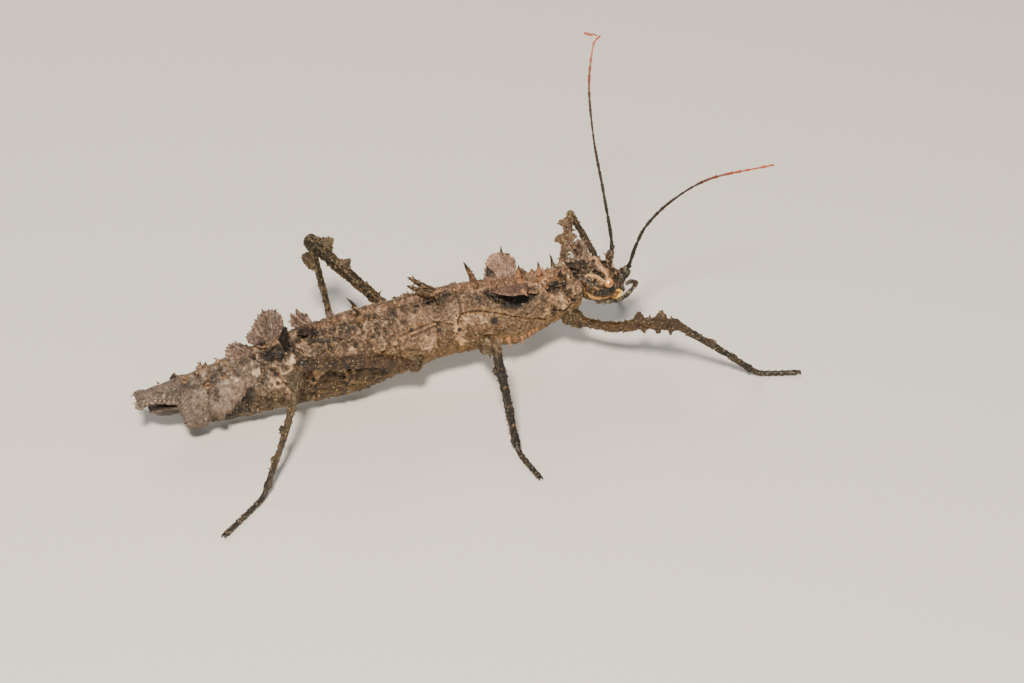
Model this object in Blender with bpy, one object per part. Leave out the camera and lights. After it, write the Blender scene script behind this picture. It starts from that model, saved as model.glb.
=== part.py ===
"""Life-size still model of a spiny, lobed stick insect, standing on all six feet.

The animal faces +X, its left side is +Y and the floor that its feet rest on is z = 0.
Sizes are in millimetres until a mesh is finished, when it is brought to metres.
"""

import math
import random

import bmesh
import bpy
from mathutils import Matrix, Vector, noise

# Driving sizes of the whole animal
MM = 0.001
GAP = 0.3
CENTRE = Vector((5.991, -0.326, 0.0))
SEED = 7

# Trunk: place along the body, height of the centre line, mean radius
TRUNK = [
    (-23.0, 4.25, 1.50),
    (-21.0, 3.80, 2.35),
    (-18.0, 3.85, 2.95),
    (-14.0, 4.50, 3.30),
    (-10.0, 5.00, 3.60),
    (-5.5, 5.35, 3.90),
    (-1.0, 6.05, 3.65),
    (4.0, 6.80, 3.40),
    (8.5, 6.85, 3.35),
    (12.2, 6.60, 3.30),
    (14.6, 7.05, 2.75),
    (17.0, 7.55, 2.40),
    (18.7, 8.00, 2.00),
]
BREADTH = 0.90
HEIGHT = 1.045
TRUNK_SIDES = 18
TRUNK_STEP = 1.45
KEEL = 0.07
KEEL_WIDTH = 13.0
CARINA = 0.04
CARINA_ANGLE = 80.0
CARINA_WIDTH = 16.0
RUGOSITY = 0.14
RUGOSITY_SCALE = 0.8

# Trunk nodes from the neck to the seventh abdominal segment, and the folds inside them
TRUNK_SPANS = {
    "prothorax": (15.55, 18.65),
    "mesothorax": (7.15, 15.25),
    "metathorax": (0.15, 6.85),
    "abdomen_front": (-7.35, -0.15),
    "abdomen_middle": (-14.85, -7.65),
    "abdomen_rear": (-22.70, -15.15),
}
FOLDS = (4.3, -3.7, -11.3, -18.9)
FOLD_DEPTH = 0.05
FOLD_LENGTH = 0.55

# Tail roof and lower plate: place, half width, height of the edge, crown and underside
TAIL = [
    (-23.0, 1.80, 4.55, 5.85, 4.40),
    (-24.1, 1.45, 4.75, 5.65, 4.50),
    (-25.2, 1.15, 4.90, 5.40, 4.65),
    (-26.0, 1.15, 4.70, 5.30, 4.50),
    (-26.8, 0.90, 4.75, 5.15, 4.55),
]
OPERCULUM = [
    (-23.0, 1.80, 4.05, 4.13, 2.60),
    (-24.2, 1.35, 3.80, 3.88, 2.50),
    (-25.1, 0.85, 3.55, 3.63, 2.65),
    (-25.75, 0.25, 3.25, 3.33, 2.95),
]

# Head: its axis runs forward and down; place along the axis, half width, half height
HEAD_BACK = Vector((18.95, 0.0, 8.75))
HEAD_PITCH = 20.0
HEAD = [
    (0.0, 1.45, 1.50),
    (0.8, 1.85, 1.90),
    (2.0, 1.98, 1.98),
    (3.0, 1.75, 1.85),
    (3.9, 1.30, 1.55),
    (4.5, 0.90, 1.15),
    (4.95, 0.45, 0.65),
]
HEAD_SIDES = 16
EYE_PLACE = 2.45
EYE_ANGLE = 62.0
EYE_RADIUS = 0.50

# Colours of the cuticle, linear
CUTICLE = (0.150, 0.098, 0.070)
LEG_CUTICLE = (0.115, 0.075, 0.052)
FOOT_CUTICLE = (0.040, 0.028, 0.022)
FEELER_CUTICLE = (0.055, 0.045, 0.033)
EYE_AMBER = (0.600, 0.310, 0.130)
MOUTH_OCHRE = (0.420, 0.270, 0.090)

DOME_TURNS = (38.0, 68.0)

UP = Vector((0.0, 0.0, 1.0))
FORWARD = Vector((1.0, 0.0, 0.0))
SIDES = {"left": 1, "right": -1}


def clear_scene():
    for item in list(bpy.data.objects):
        bpy.data.objects.remove(item, do_unlink=True)


def smooth_row(rows, place):
    """Row of sizes at a place along a table, on a smooth curve through its rows."""
    ordered = sorted(rows)
    place = min(max(place, ordered[0][0]), ordered[-1][0])
    index = 0
    while index < len(ordered) - 2 and place > ordered[index + 1][0]:
        index += 1
    low = ordered[index]
    high = ordered[index + 1]
    before = ordered[max(index - 1, 0)]
    after = ordered[min(index + 2, len(ordered) - 1)]
    span = high[0] - low[0]
    t = (place - low[0]) / span
    sizes = []
    for column in range(1, len(low)):
        start_slope = (high[column] - before[column]) / (high[0] - before[0]) * span
        end_slope = (after[column] - low[column]) / (after[0] - low[0]) * span
        sizes.append(
            (2 * t**3 - 3 * t**2 + 1) * low[column]
            + (t**3 - 2 * t**2 + t) * start_slope
            + (3 * t**2 - 2 * t**3) * high[column]
            + (t**3 - t**2) * end_slope
        )
    return sizes


def smooth_path(points, count):
    """Evenly parted points on a smooth curve through a few given points."""
    rows = [(index,) + tuple(point) for index, point in enumerate(points)]
    last = len(points) - 1
    return [Vector(smooth_row(rows, last * step / (count - 1))) for step in range(count)]


def bell(value, centre, width):
    return math.exp(-(((value - centre) / width) ** 2))


def cuticle_material(name, colour, roughness):
    material = bpy.data.materials.new(name)
    material.use_nodes = True
    shader = material.node_tree.nodes["Principled BSDF"]
    shader.inputs["Base Color"].default_value = (*colour, 1.0)
    shader.inputs["Roughness"].default_value = roughness
    shader.inputs["Metallic"].default_value = 0.0
    return material


def mesh_object(name, shape):
    """Object from a bmesh whose faces are turned outwards."""
    bmesh.ops.recalc_face_normals(shape, faces=shape.faces)
    mesh = bpy.data.meshes.new(name)
    shape.to_mesh(mesh)
    shape.free()
    item = bpy.data.objects.new(name, mesh)
    bpy.context.scene.collection.objects.link(item)
    return item


def loft(name, rings):
    """Closed body through rings of points; a ring of one point is a tip."""
    shape = bmesh.new()
    loops = [[shape.verts.new(point) for point in ring] for ring in rings]
    for near, far in zip(loops, loops[1:]):
        count = max(len(near), len(far))
        for index in range(count):
            following = (index + 1) % count
            if len(near) == 1:
                shape.faces.new((near[0], far[index], far[following]))
            elif len(far) == 1:
                shape.faces.new((near[following], near[index], far[0]))
            else:
                shape.faces.new((near[following], near[index], far[index]))
                shape.faces.new((near[following], far[index], far[following]))
    for loop in (loops[0], loops[-1]):
        if len(loop) > 1:
            shape.faces.new(loop)
    return mesh_object(name, shape)


def tube(name, path, radii, sides=8, flat=1.0, sole=None, ridge=0.0):
    """Round rod along a path, its far end domed; what comes near the floor is set flat on it."""
    rings = []
    across = None
    count = len(path)
    for index, point in enumerate(path):
        ahead = path[min(index + 1, count - 1)] - path[max(index - 1, 0)]
        ahead.normalize()
        if across is None:
            across = ahead.cross(UP if abs(ahead.z) < 0.95 else FORWARD).normalized()
        across = (across - ahead * across.dot(ahead)).normalized()
        upward = across.cross(ahead).normalized()
        rings.append((point, radii[index], across.copy(), upward, ahead))
    point, radius, across, upward, ahead = rings[-1]
    stations = list(rings)
    for turn in DOME_TURNS:
        rise = math.sin(math.radians(turn)) * radius
        narrow = math.cos(math.radians(turn)) * radius
        stations.append((point + ahead * rise, narrow, across, upward, ahead))
    loops = []
    for centre, girth, across, upward, _ in stations:
        ring = []
        for side in range(sides):
            turn = 2 * math.pi * (side + (0.0 if sole else 0.5)) / sides
            reach = girth * (1 + (ridge if side % 2 else -ridge))
            spot = centre + across * (math.cos(turn) * reach * flat) + upward * (math.sin(turn) * reach)
            if sole and spot.z < sole:
                spot.z = 0.0
            ring.append(spot)
        loops.append(ring)
    loops.append([point + ahead * radius])
    return loft(name, loops)


def spine(root, direction, length, radius, lean=None, sides=4, sink=0.45):
    """Thorn with a waist, its root sunk into what it grows from."""
    direction = direction.normalized()
    lean = lean if lean is not None else Vector((0.0, 0.0, 0.0))
    across = direction.cross(UP if abs(direction.z) < 0.9 else FORWARD).normalized()
    upward = across.cross(direction)
    rings = []
    for share, girth in ((-sink / length, 1.15), (0.45, 0.62)):
        centre = root + direction * (length * share) + lean * (max(share, 0.0) ** 2)
        ring = []
        for side in range(sides):
            turn = 2 * math.pi * side / sides
            ring.append(centre + (across * math.cos(turn) + upward * math.sin(turn)) * radius * girth)
        rings.append(ring)
    rings.append([root + direction * length + lean])
    return loft("spine", rings)


def lobe(root, rise, facing, half, height, teeth, draw, tooth=0.16, sink=0.55, thick=0.6,
         rim=0.36, opening=120.0, curl=0.0):
    """Leaf-like plate with a toothed margin, both faces split into the same triangles."""
    rise = rise.normalized()
    facing = (facing - rise * facing.dot(rise)).normalized()
    spread = rise.cross(facing)
    base = (1 + math.cos(math.radians(opening))) / 2
    outline = [(-half * 0.62, -sink, 1.0)]
    steps = 2 * teeth
    for step in range(steps + 1):
        turn = math.radians(opening) * (2 * step / steps - 1)
        bite = tooth * draw.uniform(0.6, 1.3) * (1 if step % 2 else -0.4)
        reach = 1 + bite
        climb = height * ((1 + math.cos(turn)) / 2 * reach - base * 0.35)
        outline.append((half * math.sin(turn) * reach, climb, 0.0))
    outline.append((half * 0.62, -sink, 1.0))
    shape = bmesh.new()
    faces = []
    for side in (1, -1):
        loop = []
        for wide, climb, deep in outline:
            girth = (thick if deep else rim) / 2
            bend = curl * (max(climb, 0.0) / height) ** 2
            spot = root + spread * wide + rise * climb + facing * (side * girth + bend)
            loop.append(shape.verts.new(spot))
        hub_climb = 0.32 * height
        bend = curl * (hub_climb / height) ** 2
        hub = shape.verts.new(root + rise * hub_climb + facing * (side * thick / 2 + bend))
        faces.append((loop, hub))
    (front, front_hub), (back, back_hub) = faces
    count = len(front)
    for index in range(count):
        following = (index + 1) % count
        shape.faces.new((front[index], front[following], front_hub))
        shape.faces.new((back[following], back[index], back_hub))
        shape.faces.new((front[following], front[index], back[index]))
        shape.faces.new((front[following], back[index], back[following]))
    return mesh_object("lobe", shape)


def boolean(item, others, operation):
    """One Boolean of the item with a collection of closed pieces, applied."""
    group = bpy.data.collections.new("pieces")
    bpy.context.scene.collection.children.link(group)
    for other in others:
        group.objects.link(other)
        bpy.context.scene.collection.objects.unlink(other)
    step = item.modifiers.new("join", "BOOLEAN")
    step.operand_type = "COLLECTION"
    step.collection = group
    step.operation = operation
    step.solver = "EXACT"
    graph = bpy.context.evaluated_depsgraph_get()
    mesh = bpy.data.meshes.new_from_object(item.evaluated_get(graph))
    item.modifiers.clear()
    item.data = mesh
    for other in others:
        bpy.data.objects.remove(other, do_unlink=True)
    bpy.data.collections.remove(group)
    keep_largest(item)


def keep_largest(item):
    """Leaves only the largest closed surface of the mesh."""
    shape = bmesh.new()
    shape.from_mesh(item.data)
    unseen = set(shape.verts)
    islands = []
    while unseen:
        stack = [unseen.pop()]
        island = []
        while stack:
            vertex = stack.pop()
            island.append(vertex)
            for edge in vertex.link_edges:
                other = edge.other_vert(vertex)
                if other in unseen:
                    unseen.discard(other)
                    stack.append(other)
        islands.append(island)
    islands.sort(key=lambda island: sum(face.calc_area() for vertex in island for face in vertex.link_faces))
    for island in islands[:-1]:
        bmesh.ops.delete(shape, geom=island, context="VERTS")
    shape.to_mesh(item.data)
    shape.free()


def fuse(item, pieces):
    boolean(item, pieces, "UNION")


def cut_clear(item, cutters):
    boolean(item, cutters, "DIFFERENCE")


def finish(item, name, root, material, parent):
    """Brings a finished mesh to metres, with its origin at its own root."""
    item.name = name
    item.data.name = name
    item.data.transform(Matrix.Scale(MM, 4) @ Matrix.Translation(-Vector(root)))
    item.location = (Vector(root) - CENTRE) * MM
    item.parent = parent
    item.data.materials.clear()
    item.data.materials.append(material)
    item.data.shade_smooth()
    item.data.set_sharp_from_angle(angle=math.radians(35.0))
    return item


# Trunk
def trunk_sizes(place, grow=0.0):
    centre, radius = smooth_row(TRUNK, place)
    fold = 1 - FOLD_DEPTH * sum(bell(place, spot, FOLD_LENGTH) for spot in FOLDS)
    return centre, radius * BREADTH * fold + grow, radius * HEIGHT * fold + grow


def trunk_point(place, angle, grow=0.0):
    """Point of the trunk's surface; the angle is counted from the back towards the left."""
    centre, half_width, half_height = trunk_sizes(place, grow)
    turn = math.radians(angle)
    ridge = 1 + KEEL * bell(abs(angle), 0.0, KEEL_WIDTH)
    ridge += CARINA * bell(abs(angle), CARINA_ANGLE, CARINA_WIDTH)
    outward = Vector((0.0, math.sin(turn), math.cos(turn)))
    spot = Vector((place, half_width * math.sin(turn) * ridge, centre + half_height * math.cos(turn) * ridge))
    rough = RUGOSITY * noise.noise(Vector((place, outward.y * 3.5, outward.z * 3.5)) * RUGOSITY_SCALE)
    return spot + outward * rough


def trunk_normal(place, angle):
    turn = math.radians(angle)
    return Vector((0.0, math.sin(turn) / BREADTH, math.cos(turn) / HEIGHT)).normalized()


def trunk_ring(place, grow=0.0):
    ring = []
    for side in range(TRUNK_SIDES):
        angle = 360.0 * side / TRUNK_SIDES
        ring.append(trunk_point(place, angle if angle <= 180.0 else angle - 360.0, grow))
    return ring


def trunk_length(name, start, end, grow=0.0):
    count = max(2, round(abs(end - start) / TRUNK_STEP) + 1)
    places = [start + (end - start) * step / (count - 1) for step in range(count)]
    return loft(name, [trunk_ring(place, grow) for place in places])


# Thorns of the trunk: place, angle from the back, length, root radius, backward lean
THORNS = {
    "prothorax": [
        (16.55, 24.0, 1.55, 0.38, 0.1), (17.6, 34.0, 0.85, 0.30, 0.0), (16.9, 78.0, 0.7, 0.30, 0.2),
    ],
    "mesothorax": [
        (14.75, 20.0, 1.25, 0.32, 0.05),
        (14.0, 12.0, 0.7, 0.28, 0.1),
        (13.3, 14.0, 0.8, 0.28, -0.1),
        (13.6, 60.0, 0.6, 0.28, 0.2),
        (10.4, 116.0, 0.85, 0.28, 0.1),
        (11.7, 117.0, 0.8, 0.28, 0.0),
        (12.7, 116.0, 0.7, 0.28, 0.0),
        (13.5, 114.0, 0.6, 0.26, 0.0),
    ],
    "metathorax": [(5.6, 62.0, 0.55, 0.30, 0.3), (1.6, 52.0, 0.6, 0.30, 0.3)],
    "abdomen_front": [
        (-4.2, 9.0, 1.9, 0.36, 0.9), (-1.9, 40.0, 0.5, 0.28, 0.4), (-6.6, 96.0, 0.6, 0.30, 0.3),
    ],
    "abdomen_middle": [(-10.6, 60.0, 0.55, 0.28, 0.4), (-10.9, 98.0, 0.6, 0.30, 0.3)],
    "abdomen_rear": [(-18.4, 30.0, 0.5, 0.28, 0.4), (-22.0, 10.0, 0.5, 0.28, 0.3)],
}
KEEL_TEETH_EVERY = 2.1
KEEL_TOOTH = 0.5


def paired_thorns(node):
    pieces = []
    for place, angle, length, radius, lean in THORNS[node]:
        for side in SIDES.values():
            root = trunk_point(place, side * angle)
            outward = trunk_normal(place, side * angle)
            pieces.append(spine(root, outward, length, radius, lean=Vector((-lean, 0.0, 0.0))))
    return pieces


def keel_teeth(node, draw):
    """Row of small blunt teeth along the ridge of the back, clear of the node's ends."""
    start, end = TRUNK_SPANS[node]
    pieces = []
    place = start + 0.9
    while place < end - 0.8:
        length = KEEL_TOOTH * draw.uniform(0.7, 1.3)
        root = trunk_point(place, draw.uniform(-4.0, 4.0))
        pieces.append(spine(root, UP, length, 0.3, lean=Vector((-0.25, 0.0, 0.0))))
        place += KEEL_TEETH_EVERY * draw.uniform(0.85, 1.2)
    return pieces


def forked_horn(place, side, length, draw):
    """Branched spine of the hind thorax: a leaning shaft with a fork and side teeth."""
    root = trunk_point(place, side * 8.0)
    lean = Vector((-0.58, side * 0.14, 0.80)).normalized()
    shaft = spine(root, lean, length, 0.45, lean=Vector((-0.25, 0.0, 0.0)), sides=6, sink=0.7)
    fork_root = root + lean * (length * 0.52)
    fork = spine(fork_root, Vector((-0.95, side * 0.25, 0.25)), 0.85, 0.26, sink=0.3)
    barb_root = root + lean * (length * 0.3)
    barb = spine(barb_root, Vector((0.1, side * 0.35, 1.0)), 0.7 * draw.uniform(0.9, 1.1), 0.27, sink=0.35)
    return [shaft, fork, barb]


def mesothorax_pieces(draw):
    pieces = []
    for side in SIDES.values():
        root = trunk_point(11.4 if side > 0 else 10.9, side * 19.0)
        rise = Vector((0.0, side * math.cos(math.radians(18.0)), math.sin(math.radians(18.0))))
        facing = Vector((0.0, -side * 0.3, 1.0))
        half = 1.75 if side > 0 else 2.1
        pieces.append(lobe(root, rise, facing, half, 2.6, 6, draw, tooth=0.11, sink=0.8, opening=92.0))
        tip = root + rise * 2.15 + Vector((0.2, 0.0, 0.0))
        pieces.append(spine(tip, Vector((0.2, side * 0.4, 0.9)), 1.4, 0.27, sink=0.3))
        small_root = trunk_point(13.4, side * 32.0)
        small_rise = Vector((0.1, side, 0.25))
        pieces.append(
            lobe(small_root, small_rise, Vector((0.0, -side * 0.3, 1.0)), 0.7, 0.9, 2, draw, sink=0.5))
    root = trunk_point(7.95, 0.0)
    pieces.append(
        spine(root, Vector((-0.3, 0.0, 0.95)), 3.1, 0.44, lean=Vector((-0.25, 0.0, 0.0)), sides=6, sink=0.7))
    for side in SIDES.values():
        barb_root = root + Vector((-0.25, 0.0, 0.85))
        pieces.append(spine(barb_root, Vector((-0.2, side * 0.9, 0.7)), 0.75, 0.26, sink=0.35))
    return pieces


def metathorax_pieces(draw):
    pieces = []
    for side in SIDES.values():
        pieces += forked_horn(3.1 if side > 0 else 2.6, side, 2.9 if side > 0 else 3.3, draw)
    return pieces


def abdomen_middle_pieces(draw):
    """Small pair of fans, the tall fan of the left side and its narrow partner."""
    small_root = trunk_point(-9.2, 0.0)
    tall_root = trunk_point(-13.0, 8.0)
    narrow_root = trunk_point(-12.1, -15.0)
    return [
        lobe(small_root + Vector((0.0, 0.25, 0.0)), Vector((-0.72, 0.20, 0.66)), Vector((-0.2, -0.8, 0.5)),
             0.80, 1.85, 4, draw, tooth=0.22),
        lobe(small_root + Vector((0.0, -0.30, -0.05)),
             Vector((-0.85, -0.42, 0.30)), Vector((-0.1, -0.3, 0.95)),
             0.65, 1.35, 3, draw, tooth=0.22),
        lobe(tall_root, Vector((0.02, 0.52, 0.85)), Vector((-0.15, -0.82, 0.56)),
             1.75, 3.5, 8, draw, tooth=0.10, sink=0.7, opening=120.0, curl=0.25),
        lobe(narrow_root, Vector((0.12, -0.22, 1.0)), Vector((1.0, 0.25, 0.0)),
             0.80, 2.3, 3, draw, tooth=0.16, sink=0.7),
    ]


def abdomen_rear_pieces(draw):
    """Back fan that leans rearwards, and the rounded flaps that hang at the sides."""
    fan_root = trunk_point(-15.7, 0.0) + Vector((0.0, 0.0, -0.3))
    pieces = [
        lobe(fan_root, Vector((-0.90, 0.0, 0.36)), Vector((0.36, 0.0, 0.90)),
             1.55, 1.9, 6, draw, tooth=0.13, sink=0.35, curl=-0.3)
    ]
    for side in SIDES.values():
        for place, angle, half, drop in ((-21.15, 96.0, 1.8, 1.85), (-18.4, 90.0, 1.7, 1.35)):
            root = trunk_point(place, side * angle)
            rise = Vector((-0.08, side * 0.42, -0.90))
            facing = Vector((0.0, side * 0.9, 0.42))
            pieces.append(lobe(root, rise, facing, half, drop, 5, draw, tooth=0.10, sink=0.8, opening=100.0))
    return pieces


def abdomen_front_pieces(draw):
    """Low lobes at the sides of the fourth segment's hind rim."""
    pieces = []
    for side in SIDES.values():
        root = trunk_point(-6.4, side * 34.0)
        rise = Vector((-0.55, side * 0.6, 0.6))
        pieces.append(lobe(root, rise, Vector((0.3, -side * 0.4, 0.8)), 0.6, 0.9, 3, draw))
    return pieces


EXTRA_PIECES = {
    "mesothorax": mesothorax_pieces,
    "metathorax": metathorax_pieces,
    "abdomen_front": abdomen_front_pieces,
    "abdomen_middle": abdomen_middle_pieces,
    "abdomen_rear": abdomen_rear_pieces,
}


def make_trunk(material, parent):
    draw = random.Random(SEED)
    for node, (start, end) in TRUNK_SPANS.items():
        body = trunk_length(node, start, end)
        pieces = paired_thorns(node) + keel_teeth(node, draw)
        if node in EXTRA_PIECES:
            pieces += EXTRA_PIECES[node](draw)
        fuse(body, pieces)
        middle = (start + end) / 2
        finish(body, node, (middle, 0.0, trunk_sizes(middle)[0]), material, parent)


# Tail
def plate_ring(place, half_width, edge, crown, underside, count=9):
    """Ring of a roof or boat section: an upper arc and a lower arc that meet at its edges."""
    ring = []
    for step in range(count):
        turn = math.pi * step / (count - 1)
        ring.append(Vector((place, half_width * math.cos(turn), edge + (crown - edge) * math.sin(turn))))
    for step in range(1, count - 1):
        turn = math.pi * (1 + step / (count - 1))
        drop = (edge - underside) * -math.sin(turn)
        ring.append(Vector((place, half_width * math.cos(turn), edge - drop)))
    return ring


def make_tail(material, parent):
    draw = random.Random(SEED + 1)
    roof = loft("tail", [plate_ring(*row) for row in TAIL])
    pieces = []
    for side in SIDES.values():
        root = Vector((-26.05, side * 0.9, 4.75))
        rise = Vector((-0.45, side * 0.35, -0.82))
        pieces.append(
            lobe(root, rise, Vector((0.2, side, 0.2)), 0.6, 0.75, 3, draw, sink=0.3, thick=0.5, rim=0.4))
        pieces.append(
            spine(Vector((-26.6, side * 0.55, 4.95)), Vector((-1.0, side * 0.1, 0.15)), 0.65, 0.24, sink=0.4))
        pieces.append(
            spine(Vector((-24.4, side * 0.9, 5.4)), Vector((-0.4, side * 0.3, 0.9)), 0.45, 0.26, sink=0.3))
    fuse(roof, pieces)
    finish(roof, "tail", (TAIL[0][0], 0.0, TAIL[0][2]), material, parent)
    boat = loft("operculum", [plate_ring(*row) for row in OPERCULUM])
    finish(boat, "operculum", (OPERCULUM[0][0], 0.0, OPERCULUM[0][2]), material, parent)


# Head
HEAD_AHEAD = Vector((math.cos(math.radians(HEAD_PITCH)), 0.0, -math.sin(math.radians(HEAD_PITCH))))
HEAD_UP = Vector((-HEAD_AHEAD.z, 0.0, HEAD_AHEAD.x))
HEAD_STEP = 0.62


def head_point(place, angle, grow=0.0):
    """Point of the head's surface; the angle is counted from its crown towards the left."""
    half_width, half_height = smooth_row(HEAD, place)
    turn = math.radians(angle)
    lean = min(place / 1.4, 1.0)
    upward = (UP * (1 - lean) + HEAD_UP * lean).normalized()
    brow = 1 + 0.06 * bell(abs(angle), 34.0, 13.0) - 0.04 * bell(abs(angle), 0.0, 14.0)
    cheek = 1 + 0.05 * bell(abs(angle), 92.0, 22.0) * bell(place, 1.9, 1.4)
    wide = (half_width + grow) * math.sin(turn) * brow * cheek
    tall = (half_height + grow) * math.cos(turn) * brow
    return HEAD_BACK + HEAD_AHEAD * place + Vector((0.0, wide, 0.0)) + upward * tall


def head_body(name, grow=0.0):
    length = HEAD[-1][0]
    count = round(length / HEAD_STEP) + 1
    rings = []
    for step in range(count):
        place = length * step / (count - 1)
        ring = [head_point(place, 360.0 * side / HEAD_SIDES if side <= HEAD_SIDES / 2
                           else 360.0 * side / HEAD_SIDES - 360.0, grow) for side in range(HEAD_SIDES)]
        rings.append(ring)
    if grow:
        rings = [[point - HEAD_AHEAD * grow for point in rings[0]]] + rings
        rings.append([point + HEAD_AHEAD * grow for point in rings[-1]])
    return loft(name, rings)


def ball(name, centre, radius, squash=1.0):
    shape = bmesh.new()
    bmesh.ops.create_uvsphere(shape, u_segments=12, v_segments=8, radius=radius)
    for vertex in shape.verts:
        vertex.co.y *= squash
    bmesh.ops.translate(shape, verts=shape.verts, vec=centre)
    return mesh_object(name, shape)


def eye_centre(side):
    surface = head_point(EYE_PLACE, side * EYE_ANGLE)
    return surface + Vector((0.0, side * 0.05, 0.0))


# Horns: two leaf-like outgrowths of the crown that curl back over the neck
HORN_PLACE = 0.55
HORN_ANGLE = 30.0
HORN_RISE = 2.35
HORN_REACH = 2.0


def make_horn(side, label, material, parent):
    draw = random.Random(SEED + 2)
    root = head_point(HORN_PLACE, side * HORN_ANGLE)
    tall = HORN_RISE if side > 0 else HORN_RISE * 0.92
    spine_line = smooth_path([
        root + Vector((0.25, -side * 0.25, -0.5)),
        root + Vector((-0.1, 0.0, 0.7)),
        root + Vector((-0.5, side * 0.15, tall * 0.72)),
        root + Vector((-HORN_REACH * 0.55, side * 0.2, tall * 0.95)),
        root + Vector((-HORN_REACH, side * 0.2, tall * 0.88)),
    ], 8)
    widths = [0.75, 0.80, 0.78, 0.75, 0.70, 0.58, 0.42, 0.26]
    horn = tube("horn", spine_line, widths, sides=6, flat=0.45)
    pieces = []
    for share, direction, length in (
        (2, (0.9, 0.2, 0.3), 0.95), (3, (0.6, 0.0, 0.8), 1.0), (4, (0.3, 0.0, 0.95), 0.95),
        (5, (0.0, 0.1, 1.0), 0.75),
    ):
        outward = Vector(direction) + Vector((0.0, side * 0.1, 0.0))
        reach = length * draw.uniform(0.9, 1.15) + 0.2
        pieces.append(spine(spine_line[share], outward, reach, 0.26, sink=0.1))
    fuse(horn, pieces)
    cut_clear(horn, [head_body("head_room", GAP)])
    finish(horn, "horn_" + label, root, material, parent)


def make_head(materials, parent):
    head = head_body("head")
    draw = random.Random(SEED + 3)
    pieces = []
    for side in SIDES.values():
        for place, angle, length in (
            (0.8, 62.0, 0.5), (2.1, 30.0, 0.45), (1.4, 120.0, 0.4), (3.6, 22.0, 0.45),
        ):
            root = head_point(place, side * angle)
            outward = (root - HEAD_BACK - HEAD_AHEAD * place).normalized()
            pieces.append(spine(root, outward, length * draw.uniform(0.8, 1.2), 0.27, sink=0.4))
    fuse(head, pieces)
    cut_clear(head, [ball("socket", eye_centre(side), EYE_RADIUS + GAP) for side in SIDES.values()])
    finish(head, "head", HEAD_BACK, materials["cuticle"], parent)
    for label, side in SIDES.items():
        eye = ball("eye", eye_centre(side), EYE_RADIUS, 0.96)
        finish(eye, "eye_" + label, eye_centre(side), materials["eye"], parent)
        make_horn(side, label, materials["cuticle"], parent)
        make_mouth_side(side, label, materials, parent)
        make_antenna(side, label, materials["feeler"], parent)
    make_labrum(materials["mouth"], parent)


# Mouthparts
def make_mouth_side(side, label, materials, parent):
    """Mandible beside the mouth, and the long palp that hooks forward below it."""
    jaw_path = smooth_path([
        Vector((21.9, side * 1.3, 7.1)), Vector((22.75, side * 1.15, 6.85)),
        Vector((23.3, side * 0.8, 6.6))], 4)
    jaw = tube("mandible", jaw_path, [0.50, 0.56, 0.52, 0.36], sides=8)
    cut_clear(jaw, [head_body("head_room", GAP)])
    finish(jaw, "mandible_" + label, jaw_path[0], materials["mouth"], parent)
    palp_path = smooth_path([
        Vector((20.9, side * 0.75, 6.5)),
        Vector((21.7, side * 0.90, 5.90)),
        Vector((23.3, side * 1.00, 5.80)),
        Vector((24.4, side * 1.05, 6.70)),
        Vector((24.7, side * 1.10, 7.45)),
        Vector((24.1, side * 1.10, 7.80)),
    ], 10)
    palp = tube("palp", palp_path, [0.30, 0.32, 0.27, 0.31, 0.27, 0.30, 0.26, 0.28, 0.25, 0.24], sides=6)
    cut_clear(palp, [head_body("head_room", GAP)])
    finish(palp, "palp_" + label, palp_path[0], materials["feeler"], parent)


def make_labrum(material, parent):
    path = [HEAD_BACK + HEAD_AHEAD * 4.5 + HEAD_UP * -0.1, HEAD_BACK + HEAD_AHEAD * 5.6 + HEAD_UP * -0.45]
    labrum = tube("labrum", smooth_path(path, 3), [0.42, 0.42, 0.30], sides=8, flat=1.25)
    cut_clear(labrum, [head_body("head_room", GAP)])
    finish(labrum, "labrum", path[0], material, parent)


# Antennae: the points that each feeler's curve runs through
ANTENNA_PATHS = {
    "left": [(22.4, 1.0, 8.8), (23.0, 1.3, 11.1), (22.8, 3.4, 16.3), (22.6, 5.7, 21.0), (23.0, 8.3, 25.6),
             (24.1, 10.3, 28.9), (24.9, 11.0, 29.6), (24.1, 11.5, 29.8)],
    "right": [(22.6, -1.0, 8.4), (23.7, -1.4, 9.9), (24.3, -2.1, 12.9), (25.1, -2.9, 15.6),
              (27.0, -4.5, 18.95), (30.0, -6.9, 22.3), (34.7, -10.3, 24.8)],
}
SCAPE_LENGTH = 2.0
SCAPE_RADIUS = 0.46
FEELER_RADIUS = 0.29
FEELER_TIP_RADIUS = 0.20
FEELER_STEPS = 28


def make_antenna(side, label, material, parent):
    path = smooth_path([Vector(point) for point in ANTENNA_PATHS[label]], FEELER_STEPS)
    along = [0.0]
    for low, high in zip(path, path[1:]):
        along.append(along[-1] + (high - low).length)
    split = next(index for index, run in enumerate(along) if run > SCAPE_LENGTH)
    ahead = (path[split] - path[0]).normalized()
    scape_end = path[0] + ahead * SCAPE_LENGTH
    scape_path = smooth_path([path[0] - ahead * 0.4, scape_end], 5)
    scape = tube("scape", scape_path, [0.42, SCAPE_RADIUS, 0.50, 0.42, 0.34], sides=8)
    fuse(scape, [spine(scape_path[2], Vector((-0.7, side * 0.2, 0.7)), 1.0, 0.26, sink=0.1)])
    cut_clear(scape, [head_body("head_room", GAP)])
    finish(scape, "scape_" + label, path[0], material, parent)
    start = scape_end + (path[split + 1] - scape_end).normalized() * (0.34 + GAP)
    feeler_path = [start] + path[split + 1:]
    count = len(feeler_path)
    narrowing = (FEELER_TIP_RADIUS - FEELER_RADIUS) / (count - 1)
    radii = [FEELER_RADIUS + narrowing * step for step in range(count)]
    feeler = tube("antenna", feeler_path, radii, sides=6)
    finish(feeler, "antenna_" + label, start, material, parent)


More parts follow.
